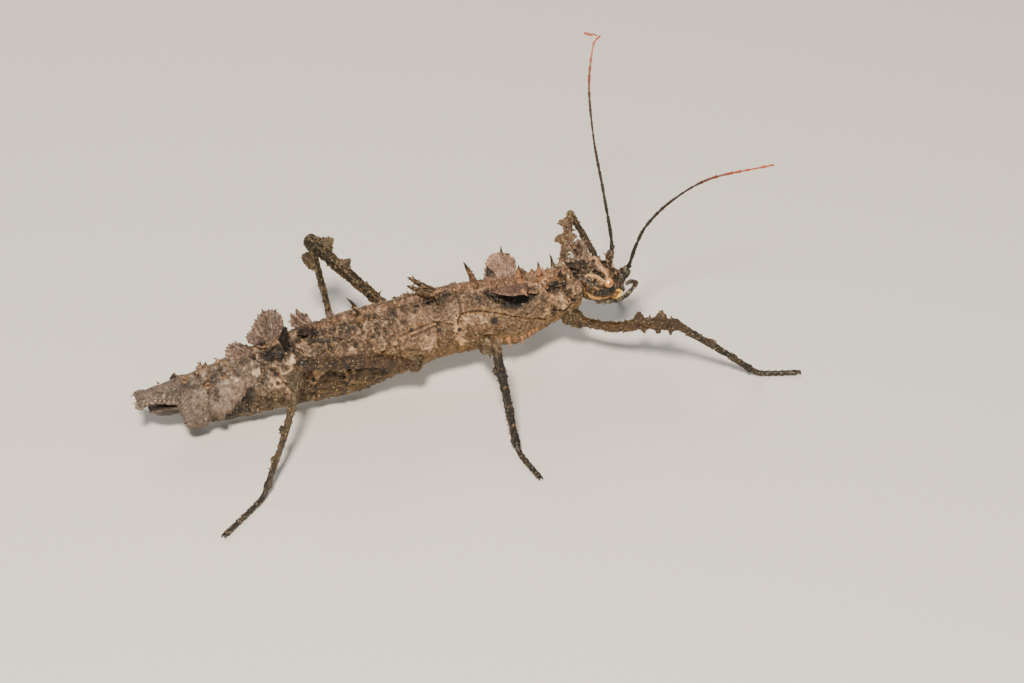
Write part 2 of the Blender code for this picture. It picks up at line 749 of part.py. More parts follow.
# Legs: coxa root inside the trunk, coxa end, knee, ankle and toe of each leg
LEGS = {
    "front_left": ((16.6, 0.9, 6.6), (17.4, 2.3, 5.5), (22.2, 11.3, 9.0), (25.65, 6.7, 0.95), (27.0, 11.4)),
    "front_right": (
        (16.8, -0.9, 6.4), (18.3, -2.0, 5.0), (25.9, -9.4, 7.6), (33.7, -10.2, 0.95), (38.4, -11.6)),
    "mid_left": ((8.0, 1.8, 5.6), (8.6, 3.6, 5.0), (14.2, 8.9, 6.8), (15.5, 15.2, 0.95), (17.3, 18.6)),
    "mid_right": ((8.0, -1.8, 5.9), (7.9, -3.5, 5.2), (6.7, -10.4, 9.8), (7.3, -14.4, 0.95), (8.0, -19.3)),
    "hind_left": ((1.0, 1.9, 5.6), (1.1, 3.7, 5.2), (-6.3, 9.6, 13.0), (-5.1, 5.6, 0.95), (-9.3, 9.0)),
    "hind_right": (
        (1.0, -1.9, 5.6), (0.4, -3.7, 4.9), (-11.7, -6.0, 9.6), (-17.5, -13.1, 1.1), (-22.9, -17.8)),
}
COXA_RADIUS = 0.88
FEMUR_RADII = {
    "front": (0.46, 0.50, 0.54, 0.60, 0.60, 0.56, 0.50),
    "mid": (0.50, 0.55, 0.57, 0.60, 0.58, 0.54, 0.50),
    "hind": (0.48, 0.52, 0.58, 0.63, 0.61, 0.57, 0.52),
}
TIBIA_RADII = (0.38, 0.43, 0.43, 0.40, 0.38, 0.36, 0.37)
TARSUS_RADII = (0.28, 0.31, 0.27, 0.30, 0.27, 0.29, 0.30)
ANKLE_RADIUS = 0.37
FOOT_HEIGHT = 0.26
SOLE = 0.08
CLAW = 0.75
CLAW_APART = 0.18
FEMUR_SAG = {"front": -0.55, "mid": 0.0, "hind": 0.15}
LEG_STEPS = 7
SHIN_BOW = {"front": 0.15, "mid": 0.10, "hind": -0.40}

# Teeth and lobes of the legs: place along the piece, angle from its upper edge, length
FEMUR_LOBES = {
    "front": [(0.56, 25.0, 0.80), (0.83, -30.0, 0.85)],
    "mid": [(0.40, 20.0, 0.60), (0.78, -20.0, 0.75)],
    "hind": [(0.50, 0.0, 0.75), (0.80, 10.0, 0.90)],
}
FEMUR_TEETH = {
    "front": [(0.12, 180.0, 0.45), (0.28, 180.0, 0.45), (0.44, 150.0, 0.5), (0.60, -75.0, 0.6),
              (0.74, 190.0, 0.6), (0.86, 75.0, 0.65), (0.97, -60.0, 0.6)],
    "mid": [(0.20, 180.0, 0.4), (0.50, 170.0, 0.5), (0.62, 80.0, 0.5), (0.80, 190.0, 0.55), (0.97, 0.0, 0.6)],
    "hind": [(0.20, 0.0, 0.5), (0.34, 180.0, 0.5), (0.62, 170.0, 0.6), (0.85, 190.0, 0.6), (0.99, 0.0, 0.75)],
}
TIBIA_LOBES = {
    "front": [(0.42, 0.0, 0.65)],
    "mid": [(0.22, 0.0, 0.55)],
    "hind": [(0.18, 0.0, 0.90)],
}
TIBIA_TEETH = {
    "front": [(0.15, 20.0, 0.4), (0.60, 180.0, 0.4), (0.74, 0.0, 0.5)],
    "mid": [(0.40, 0.0, 0.4), (0.60, 20.0, 0.4), (0.80, -20.0, 0.35)],
    "hind": [(0.38, 0.0, 0.5), (0.58, 20.0, 0.45), (0.78, 0.0, 0.4)],
}


def leg_rise(path, outer, angle):
    """Direction square to a leg piece, turned about it from its upper edge."""
    ahead = (path[-1] - path[0]).normalized()
    upward = (outer - ahead * outer.dot(ahead)).normalized()
    turn = math.radians(angle)
    return upward * math.cos(turn) + ahead.cross(upward) * math.sin(turn)


def leg_ornaments(path, radii, outer, lobes, teeth, draw):
    pieces = []
    last = len(path) - 1
    for share, angle, length in lobes:
        low = min(int(share * last), last - 1)
        spot = path[low].lerp(path[low + 1], share * last - low)
        rise = leg_rise(path, outer, angle)
        facing = rise.cross(path[-1] - path[0])
        root = spot + rise * (radii[low] * 0.75)
        pieces.append(lobe(root, rise, facing, length * 0.95, length, 3, draw, tooth=0.2, sink=0.35,
                           thick=0.55, rim=0.4, opening=110.0))
    for share, angle, length in teeth:
        low = min(int(share * last), last - 1)
        spot = path[low].lerp(path[low + 1], share * last - low)
        rise = leg_rise(path, outer, angle)
        root = spot + rise * (radii[low] * 0.8)
        pieces.append(spine(root, rise, length, 0.27, sink=0.35))
    return pieces


def femur_path(hip, knee, kind):
    ahead = (knee - hip).normalized()
    upward = leg_rise([hip, knee], UP, 0.0)
    points = [hip, hip.lerp(knee, 0.35) + upward * FEMUR_SAG[kind], hip.lerp(knee, 0.7), knee - ahead * 0.1]
    return smooth_path(points, LEG_STEPS)


def swell(radii, grow):
    return [radius + grow for radius in radii]


def make_leg(name, draw, materials, parent):
    kind, label = name.split("_")
    side = SIDES[label]
    root, hip, knee, ankle = [Vector(point) for point in LEGS[name][:4]]
    toe = Vector((*LEGS[name][4], FOOT_HEIGHT))
    coxa_path = smooth_path([root, root.lerp(hip, 0.6), hip], 4)
    coxa_radii = [COXA_RADIUS, COXA_RADIUS, COXA_RADIUS * 0.92, COXA_RADIUS * 0.72]
    coxa = tube("coxa", coxa_path, coxa_radii, sides=8)
    trunk_start = max(root.x - 3.0, TRUNK[0][0])
    trunk_end = min(root.x + 3.0, TRUNK_SPANS["prothorax"][1])
    cut_clear(coxa, [trunk_length("trunk_room", trunk_start, trunk_end, GAP)])
    finish(coxa, "coxa_" + name, root, materials["cuticle"], parent)

    thigh_path = femur_path(hip, knee, kind)
    thigh_radii = FEMUR_RADII[kind]
    femur = tube("femur", thigh_path, thigh_radii, sides=8, ridge=0.07)
    outer = (UP + Vector((0.0, side * 0.25, 0.0))).normalized()
    fuse(femur, leg_ornaments(thigh_path, thigh_radii, outer, FEMUR_LOBES[kind], FEMUR_TEETH[kind], draw))
    cut_clear(femur, [tube("coxa_room", coxa_path, swell(coxa_radii, GAP), sides=8)])
    finish(femur, "femur_" + name, hip, materials["leg"], parent)

    outer = (knee - hip).normalized()
    shin_path = smooth_path([knee, knee.lerp(ankle, 0.5) + outer * SHIN_BOW[kind], ankle], LEG_STEPS)
    tibia = tube("tibia", shin_path, TIBIA_RADII, sides=6)
    fuse(tibia, leg_ornaments(shin_path, TIBIA_RADII, outer, TIBIA_LOBES[kind], TIBIA_TEETH[kind], draw))
    cut_clear(tibia, [tube("femur_room", thigh_path, swell(thigh_radii, GAP), sides=8, ridge=0.07)])
    finish(tibia, "tibia_" + name, knee, materials["leg"], parent)

    ahead = (toe - ankle)
    ahead.z = 0.0
    ahead.normalize()
    foot_path = smooth_path([
        ankle,
        Vector((ankle.x, ankle.y, 0.0)) + ahead * 0.9 + UP * (FOOT_HEIGHT + 0.12),
        Vector((ankle.x, ankle.y, 0.0)).lerp(Vector((toe.x, toe.y, 0.0)), 0.5) + UP * FOOT_HEIGHT,
        toe,
    ], LEG_STEPS)
    tarsus = tube("tarsus", foot_path, TARSUS_RADII, sides=6, sole=SOLE)
    across = ahead.cross(UP)
    claws = []
    for turn in (1, -1):
        claw_root = toe + ahead * 0.12 + across * (turn * CLAW_APART) + UP * 0.1
        claws.append(spine(claw_root, ahead + across * (turn * 0.5), CLAW, 0.15, sink=0.2, lean=UP * -0.15))
    fuse(tarsus, claws)
    cut_clear(tarsus, [tube("tibia_room", shin_path, swell(TIBIA_RADII, GAP), sides=6)])
    finish(tarsus, "tarsus_" + name, ankle, materials["foot"], parent)


def main():
    clear_scene()
    materials = {
        "cuticle": cuticle_material("cuticle", CUTICLE, 0.75),
        "leg": cuticle_material("leg_cuticle", LEG_CUTICLE, 0.75),
        "foot": cuticle_material("foot_cuticle", FOOT_CUTICLE, 0.55),
        "feeler": cuticle_material("feeler_cuticle", FEELER_CUTICLE, 0.6),
        "eye": cuticle_material("eye_amber", EYE_AMBER, 0.15),
        "mouth": cuticle_material("mouth_ochre", MOUTH_OCHRE, 0.4),
    }
    insect = bpy.data.objects.new("stick_insect", None)
    bpy.context.scene.collection.objects.link(insect)
    make_trunk(materials["cuticle"], insect)
    make_tail(materials["cuticle"], insect)
    make_head(materials, insect)
    draw = random.Random(SEED + 4)
    for name in LEGS:
        make_leg(name, draw, materials, insect)


main()
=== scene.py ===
"""Finish of a life-size still model of a spiny, lobed stick insect on its six feet.

Sizes are in millimetres as the animal stands: +X ahead, +Y its left, the floor at height 0.
"""

import math
import random

import bpy
import numpy as np
from mathutils import Matrix, Vector, noise


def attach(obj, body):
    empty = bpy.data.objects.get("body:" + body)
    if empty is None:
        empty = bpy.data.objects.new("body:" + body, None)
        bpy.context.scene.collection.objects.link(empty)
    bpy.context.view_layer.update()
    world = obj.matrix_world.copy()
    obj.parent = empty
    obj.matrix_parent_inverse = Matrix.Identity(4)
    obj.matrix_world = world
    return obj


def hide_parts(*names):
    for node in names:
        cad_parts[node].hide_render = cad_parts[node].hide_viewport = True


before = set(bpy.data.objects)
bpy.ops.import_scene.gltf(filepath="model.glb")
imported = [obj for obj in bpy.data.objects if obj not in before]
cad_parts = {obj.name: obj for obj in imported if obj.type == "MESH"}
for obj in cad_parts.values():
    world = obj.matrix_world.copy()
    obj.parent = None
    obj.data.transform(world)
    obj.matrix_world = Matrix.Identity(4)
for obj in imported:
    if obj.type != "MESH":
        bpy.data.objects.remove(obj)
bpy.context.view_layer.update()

# Trunk skin
# The body wall is one tube of hard, tanned chitin from the neck to the seventh abdominal ring. It is
# wrinkled, veined and pitted, with a keel along the back, and its plates meet at sutures and folds.
MM = 0.001
FOOTPRINT_MIDDLE = np.array([5.991, -0.326, 0.0])
# Place along the body, height of the centre line, mean radius
TRUNK = [
    (-23.0, 4.25, 1.50), (-21.0, 3.80, 2.35), (-18.0, 3.85, 2.95), (-14.0, 4.50, 3.30), (-10.0, 5.00, 3.60),
    (-5.5, 5.35, 3.90), (-1.0, 6.05, 3.65), (4.0, 6.80, 3.40), (8.5, 6.85, 3.35), (12.2, 6.60, 3.30),
    (14.6, 7.05, 2.75), (17.0, 7.55, 2.40), (18.7, 8.00, 2.00),
]
BREADTH = 0.90
HEIGHT = 1.045
TRUNK_ENDS = (-23.1, 18.9)
SKIN_STEP = 0.11
TRUNK_SIDES = 190
SIDES = {"left": 1, "right": -1}
BRISTLE_SEED = 7

# Hind rims of the rings: place at the back and place at the flank, groove depth
RINGS = [
    (5.9, 5.3, 0.13), (-0.6, -0.9, 0.10), (-4.4, -3.0, 0.10), (-8.0, -6.6, 0.12), (-11.3, -9.6, 0.10),
    (-14.9, -11.9, 0.22), (-18.3, -16.3, 0.18), (-20.7, -20.1, 0.14), (-22.5, -22.3, 0.10),
]

# Lines on the flank as (place, angle from the back): width, height, and tone of relief, rust, ochre, dark
SUTURES = [
    [(5.2, -67), (5.3, -62), (5.6, -56), (6.0, -52), (6.7, -52), (7.5, -53.5), (8.4, -57.5), (9.5, -62.5),
     (10.6, -68.5), (11.9, -75.5), (13.6, -89), (14.6, -104)],
    [(4.7, -67), (3.9, -61.5), (3.2, -56.5), (2.8, -53)],
    [(3.5, -62.5), (3.1, -62), (3.0, -77), (3.1, -100)],
]
RIDGES = [
    ([(2.8, -53), (2.0, -52.5), (0.9, -53.5), (-0.1, -55.5), (-0.9, -57.5)], 0.11, 0.08,
     (0.35, 0.15, 0.10, 0.0)),
    ([(2.8, -54.5), (2.0, -54), (0.9, -55), (-0.1, -57), (-0.8, -58.6)], 0.10, -0.08, (-0.5, 0.0, 0.0, 0.6)),
    ([(3.5, -62.5), (3.0, -59), (2.1, -59.5), (1.2, -61.5), (0.4, -63), (-0.9, -60.5)], 0.11, 0.06,
     (0.35, 0.15, 0.08, 0.0)),
    ([(5.3, -60), (5.1, -74), (5.0, -90), (5.6, -108)], 0.35, -0.10, (0.35, 0.0, 0.05, -0.2)),
    ([(3.4, -64.2), (2.9, -61), (2.1, -61.5), (1.2, -63.3), (0.4, -64.8)], 0.10, -0.08,
     (-0.5, 0.1, 0.0, 0.6)),
    ([(6.0, -62), (7.2, -64), (8.6, -67)], 0.5, 0.12, (0.25, 0.0, 0.0, 0.0)),
    ([(14.4, -30), (14.8, -44), (15.8, -60.5), (17.0, -80.5)], 0.30, 0.30, (0.25, 0.10, 0.03, -0.2)),
    ([(17.2, -16), (16.95, -40), (16.8, -58), (17.3, -80), (18.0, -96)], 0.16, -0.22, (-0.5, 0.0, 0.0, 0.8)),
    ([(15.4, -84), (15.9, -96), (16.8, -104)], 0.22, -0.2, (-0.5, 0.0, 0.0, 0.8)),
    ([(7.0, -12), (8.0, -15), (9.0, -13), (12.5, -13), (13.8, -20)], 0.22, 0.10, (0.3, 0.4, 0.0, 0.0)),
]
# Single spots: place, angle, radius, height, tone
SPOTS = [
    (0.41, -55.0, 0.38, 0.10, (0.35, 0.2, 0.1, -0.2)),
    (5.28, -78.0, 0.46, 0.10, (0.35, 0.1, 0.2, -0.2)),
    (-1.5, -65.5, 0.22, 0.20, (0.4, 0.6, 0.2, 0.0)),
    (-3.7, -64.0, 0.22, 0.18, (0.4, 0.4, 0.0, 0.0)),
    (-5.7, -53.5, 0.32, 0.28, (0.9, 0.0, 0.0, 0.0)),
    (15.1, -88.0, 0.30, 0.30, (-0.2, 0.5, 0.0, 0.9)),
    (15.1, -88.0, 0.55, 0.06, (0.3, 0.0, 0.2, 0.0)),
    (9.0, -74.5, 0.32, -0.30, (-0.6, 0.0, 0.0, 1.4)),
    (3.2, -70.0, 0.26, -0.20, (-0.6, 0.0, 0.0, 1.2)),
    (-1.4, -35.5, 0.22, -0.14, (-0.5, 0.0, 0.0, 1.0)),
    (-0.2, -38.0, 0.20, -0.14, (-0.5, 0.0, 0.0, 1.0)),
    (1.2, -28.0, 0.22, -0.14, (-0.5, 0.0, 0.0, 1.0)),
    (1.6, -17.5, 0.24, -0.14, (-0.5, 0.0, 0.0, 1.0)),
    (7.9, -30.0, 0.24, -0.10, (-0.5, 0.0, 0.0, 0.9)),
    (2.2, -84.0, 0.80, 0.18, (0.45, 0.30, 0.0, -0.2)),
    (1.1, -40.0, 0.95, 0.10, (0.12, 0.10, 0.0, -0.3)),
    (6.9, -75.0, 1.00, 0.14, (-0.05, 0.10, 0.0, -0.1)),
    (9.6, -62.5, 0.14, 0.10, (0.6, 0.0, 1.0, 0.0)),
    (5.58, -102.0, 0.26, 0.15, (0.9, 0.0, 1.0, -0.5)),
    (17.85, -58.0, 0.95, 0.24, (0.08, 0.0, 0.0, -0.1)),
    (17.5, -30.0, 0.50, 0.14, (0.25, 0.0, 0.0, -0.1)),
    (15.9, -23.0, 0.26, 0.18, (0.2, 0.6, 0.0, 0.0)),
    (14.6, -16.5, 0.22, 0.24, (0.3, 0.6, 0.0, 0.0)),
    (15.2, -13.0, 0.20, 0.24, (0.3, 0.6, 0.0, 0.0)),
    (15.3, -31.0, 0.22, 0.18, (0.2, 0.6, 0.0, 0.0)),
    (14.6, -40.5, 0.22, 0.18, (0.2, 0.5, 0.0, 0.0)),
    (15.2, -50.0, 0.24, 0.16, (0.2, 0.5, 0.0, 0.0)),
    (15.3, -63.5, 0.22, 0.16, (0.1, 0.6, 0.0, 0.0)),
    (16.3, -70.0, 0.34, 0.20, (0.4, 0.2, 0.0, 0.0)),
    (16.6, -92.0, 0.36, 0.26, (0.4, 0.1, 0.1, 0.0)),
    (-10.3, -21.5, 0.22, 0.16, (0.3, 0.5, 0.0, 0.0)),
    (-13.3, -39.0, 0.24, 0.16, (0.2, 0.5, 0.0, 0.0)),
    (-12.0, -60.0, 0.22, 0.16, (0.3, 0.5, 0.0, 0.0)),
    (-22.5, -41.0, 0.22, 0.18, (0.3, 0.6, 0.0, 0.0)),
    (-20.0, -41.5, 0.30, 0.42, (-0.1, 0.5, 0.0, 0.4)),
    # Painted highlights: the next two pale spots stand for glints on the glossy abdomen
    (-11.7, -44.5, 0.42, 0.18, (0.85, 0.0, 0.0, -0.5)),
    (-15.3, -44.5, 0.34, 0.18, (0.80, 0.0, 0.0, -0.5)),
    (-12.3, -90.5, 0.75, 0.40, (0.30, 0.0, 0.0, -0.6)),
    (-9.5, -75.5, 0.26, 0.16, (2.6, 0.3, 0.4, -2.4)),
    (-9.0, -77.0, 0.18, 0.14, (2.6, 0.3, 0.3, -2.4)),
    (-7.2, -77.0, 0.14, 0.12, (2.6, 0.0, 0.2, -2.4)),
    # Painted highlight: a broad pale sheen on the glossy abdomen
    (-17.6, -48.0, 1.00, 0.08, (0.45, 0.0, 0.0, -0.3)),
    (-19.4, -58.0, 0.70, 0.10, (0.30, 0.0, 0.0, -0.2)),
]
SPIRACLES = [(-13.4, -75.0), (-16.95, -89.5), (-9.9, -84.0), (-6.3, -82.0), (-2.6, -84.0), (-19.2, -96.0)]
# Painted shade beside the keel and painted shadow under the flaps: place, angle, radius, strength
SHADES = [
    (-6.9, -9.0, 0.9, 0.25), (-5.4, -13.0, 1.0, 0.25), (-4.0, -14.0, 0.9, 0.3), (-2.4, -19.0, 0.8, 0.2),
    (-1.0, -16.0, 0.6, 0.4), (0.4, -12.0, 0.5, 0.5), (3.2, -6.0, 0.55, 1.5), (3.8, -13.0, 0.6, 1.3),
    (4.7, -7.0, 0.5, 1.3), (2.6, -16.0, 0.5, 0.9),
    (9.0, -25.0, 0.45, 1.2), (9.6, -32.0, 0.50, 1.6), (10.3, -38.0, 0.60, 1.8), (11.1, -42.0, 0.65, 1.8),
    (11.9, -43.0, 0.65, 1.8), (12.7, -41.0, 0.60, 1.7), (13.4, -37.5, 0.50, 1.4), (10.8, -36.0, 0.80, 1.5),
    (12.2, -36.0, 0.80, 1.5),
    (15.1, -41.0, 0.42, 1.5), (15.7, -41.0, 0.50, 1.6), (16.2, -37.0, 0.50, 1.6), (16.7, -30.0, 0.40, 1.3),
    (-12.7, -28.0, 0.9, 1.2), (-13.9, -20.0, 0.8, 1.2), (-11.6, -19.0, 0.8, 0.6), (-8.9, -13.0, 0.7, 0.6),
    (-17.3, -35.0, 0.6, 0.8), (-21.0, -45.0, 0.5, 1.1), (-8.6, -35.0, 1.6, 0.35), (-6.4, -42.0, 1.5, 0.3),
    (-19.3, -30.0, 0.6, 0.9), (-22.0, -28.0, 0.5, 0.8), (-14.8, -62.0, 0.6, 0.5), (-16.2, -71.5, 0.40, 1.1),
    (-16.6, -86.0, 0.40, 1.1), (-17.3, -106.0, 0.45, 1.1), (-18.2, -135.0, 0.55, 0.9),
    (-20.1, -32.0, 0.35, 0.8), (-16.4, -78.0, 0.5, 0.7), (-17.2, -96.0, 0.8, 0.8), (-18.6, -108.0, 0.9, 0.9),
    (-20.4, -115.0, 0.9, 0.9),
]

def bell(value, centre, width):
    return np.exp(-(((value - centre) / width) ** 2))


def through(rows, at):
    """Rows of sizes at places along a table, on smooth curves through its rows."""
    rows = np.array(sorted(rows), float)
    spots = rows[:, 0]
    sizes = rows[:, 1:]
    index = np.arange(len(spots))
    before = np.maximum(index - 1, 0)
    after = np.minimum(index + 1, len(spots) - 1)
    slope = (sizes[after] - sizes[before]) / (spots[after] - spots[before])[:, None]
    at = np.clip(at, spots[0], spots[-1])
    low = np.clip(np.searchsorted(spots, at, "right") - 1, 0, len(spots) - 2)
    span = (spots[low + 1] - spots[low])[..., None]
    t = (at - spots[low])[..., None] / span
    return (
        (2 * t**3 - 3 * t**2 + 1) * sizes[low]
        + (t**3 - 2 * t**2 + t) * slope[low] * span
        + (3 * t**2 - 2 * t**3) * sizes[low + 1]
        + (t**3 - t**2) * slope[low + 1] * span
    )


def curve_through(points, step):
    """Points about a step apart on a smooth curve through a few given points."""
    points = np.array(points, float)
    reach = np.linalg.norm(np.diff(points, axis=0), axis=1).sum()
    count = max(int(reach / step), 2) + 1
    rows = [(index, *point) for index, point in enumerate(points)]
    return through(rows, np.linspace(0, len(points) - 1, count))


def unit(vector):
    vector = np.array(vector, float)
    return vector / np.linalg.norm(vector, axis=-1, keepdims=True)


def wrinkle(points, size, shift=0.0):
    """Smooth noise between about -1 and 1 with bumps of one size."""
    return np.array([noise.noise(point) for point in (points / size + shift).tolist()])


def veins(points, size, shift=0.0):
    """1 on the walls of an irregular net of cells, 0 inside them."""
    walls = []
    for point in (points / size + shift).tolist():
        near = noise.voronoi(point)[0]
        walls.append(near[1] - near[0])
    return np.clip(1 - np.array(walls) / 0.28, 0, 1)


def nearness(points, line, width):
    """How near each point is to a line of points: 1 on it, fading over its width."""
    line = np.atleast_2d(line)
    reach = 3 * width
    close = np.all((points > line.min(axis=0) - reach) & (points < line.max(axis=0) + reach), axis=1)
    value = np.zeros(len(points))
    if close.any():
        gap = np.linalg.norm(points[close, None] - line[None], axis=2).min(axis=1)
        value[close] = np.exp(-((gap / width) ** 2))
    return value


def wall_normals(grid):
    """Outward normals of a closed wall given ring by ring."""
    along = np.gradient(grid, axis=0)
    around = np.roll(grid, -1, axis=1) - np.roll(grid, 1, axis=1)
    normal = np.cross(around, along)
    normal /= np.linalg.norm(normal, axis=2, keepdims=True) + 1e-9
    outward = grid - grid.mean(axis=1, keepdims=True)
    facing = np.sign((normal * outward).sum(axis=2).mean())
    return normal * facing


def closed_body(grid, tone, folded=False):
    """Points, quads, end faces and tones of a closed wall given ring by ring, faces outwards.

    The ends of a folded wall are closed between its two layers, those of any other wall across its ring.
    """
    rings, sides = grid.shape[:2]
    index = np.arange(rings * sides).reshape(rings, sides)
    following = np.roll(index, -1, axis=1)
    quads = np.stack([index[:-1], following[:-1], following[1:], index[1:]], axis=2).reshape(-1, 4)
    caps = np.stack([index[0][::-1], index[-1]])
    if folded:
        strips = []
        for ring in (index[0][::-1], index[-1]):
            near, far = ring[:sides // 2], ring[sides // 2:][::-1]
            strips.append(np.stack([near[:-1], near[1:], far[1:], far[:-1]], axis=1))
        caps = np.concatenate(strips)
    points = grid.reshape(-1, 3)
    corner = points[quads] - points.mean(axis=0)
    volume = (corner[:, 0] * np.cross(corner[:, 1], corner[:, 2])).sum()
    volume += (corner[:, 0] * np.cross(corner[:, 2], corner[:, 3])).sum()
    if volume < 0:
        quads = quads[:, ::-1]
        caps = caps[:, ::-1]
    return points, quads, caps, np.broadcast_to(tone, (rings, sides, 4)).reshape(-1, 4)


def placed_piece(name, mesh):
    """Object of a mesh, riding on the still model's only body."""
    piece = bpy.data.objects.new(name, mesh)
    bpy.context.scene.collection.objects.link(piece)
    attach(piece, "root")
    return piece


def make_piece(name, bodies, material, nodes=()):
    """One object from closed bodies, in its place."""
    points = []
    corners = []
    totals = []
    tones = []
    count = 0
    for body_points, quads, caps, tone in bodies:
        points.append(body_points)
        tones.append(tone)
        for faces in (quads, caps):
            corners.append((faces + count).ravel())
            totals.append(np.full(len(faces), faces.shape[1]))
        count += len(body_points)
    points = (np.concatenate(points) - FOOTPRINT_MIDDLE) * MM
    corners = np.concatenate(corners).astype(np.int32)
    totals = np.concatenate(totals).astype(np.int32)
    mesh = bpy.data.meshes.new(name)
    mesh.vertices.add(count)
    mesh.vertices.foreach_set("co", points.astype(np.float32).ravel())
    mesh.loops.add(len(corners))
    mesh.loops.foreach_set("vertex_index", corners)
    mesh.polygons.add(len(totals))
    mesh.polygons.foreach_set("loop_start", np.concatenate([[0], np.cumsum(totals)[:-1]]).astype(np.int32))
    mesh.polygons.foreach_set("loop_total", totals)
    layer = mesh.attributes.new("tone", "FLOAT_COLOR", "POINT")
    layer.data.foreach_set("color", np.concatenate(tones).astype(np.float32).ravel())
    mesh.update(calc_edges=True)
    mesh.validate()
    mesh.shade_smooth()
    mesh.materials.append(material)
    piece = placed_piece(name, mesh)
    if nodes:
        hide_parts(*nodes)
    return piece


def srgb(code):
    """Linear colour of an sRGB hex value."""
    parts = [int(code[index:index + 2], 16) / 255 for index in (1, 3, 5)]
    return (*[part / 12.92 if part <= 0.04045 else ((part + 0.055) / 1.055) ** 2.4 for part in parts], 1.0)


def add(tree, kind, inputs=None, **settings):
    """Node with its settings; each input is a value or the output that feeds it."""
    item = tree.nodes.new(kind)
    for key, value in settings.items():
        setattr(item, key, value)
    for key, value in (inputs or {}).items():
        if isinstance(value, bpy.types.NodeSocket):
            tree.links.new(value, item.inputs[key])
        else:
            item.inputs[key].default_value = value
    return item


RUST = "#85503a"
OCHRE = "#c9963f"
# The dark tint below colours both black cuticle and painted shade
DARK_AND_SHADE = "#12100c"
DUST = "#e6d3a2"


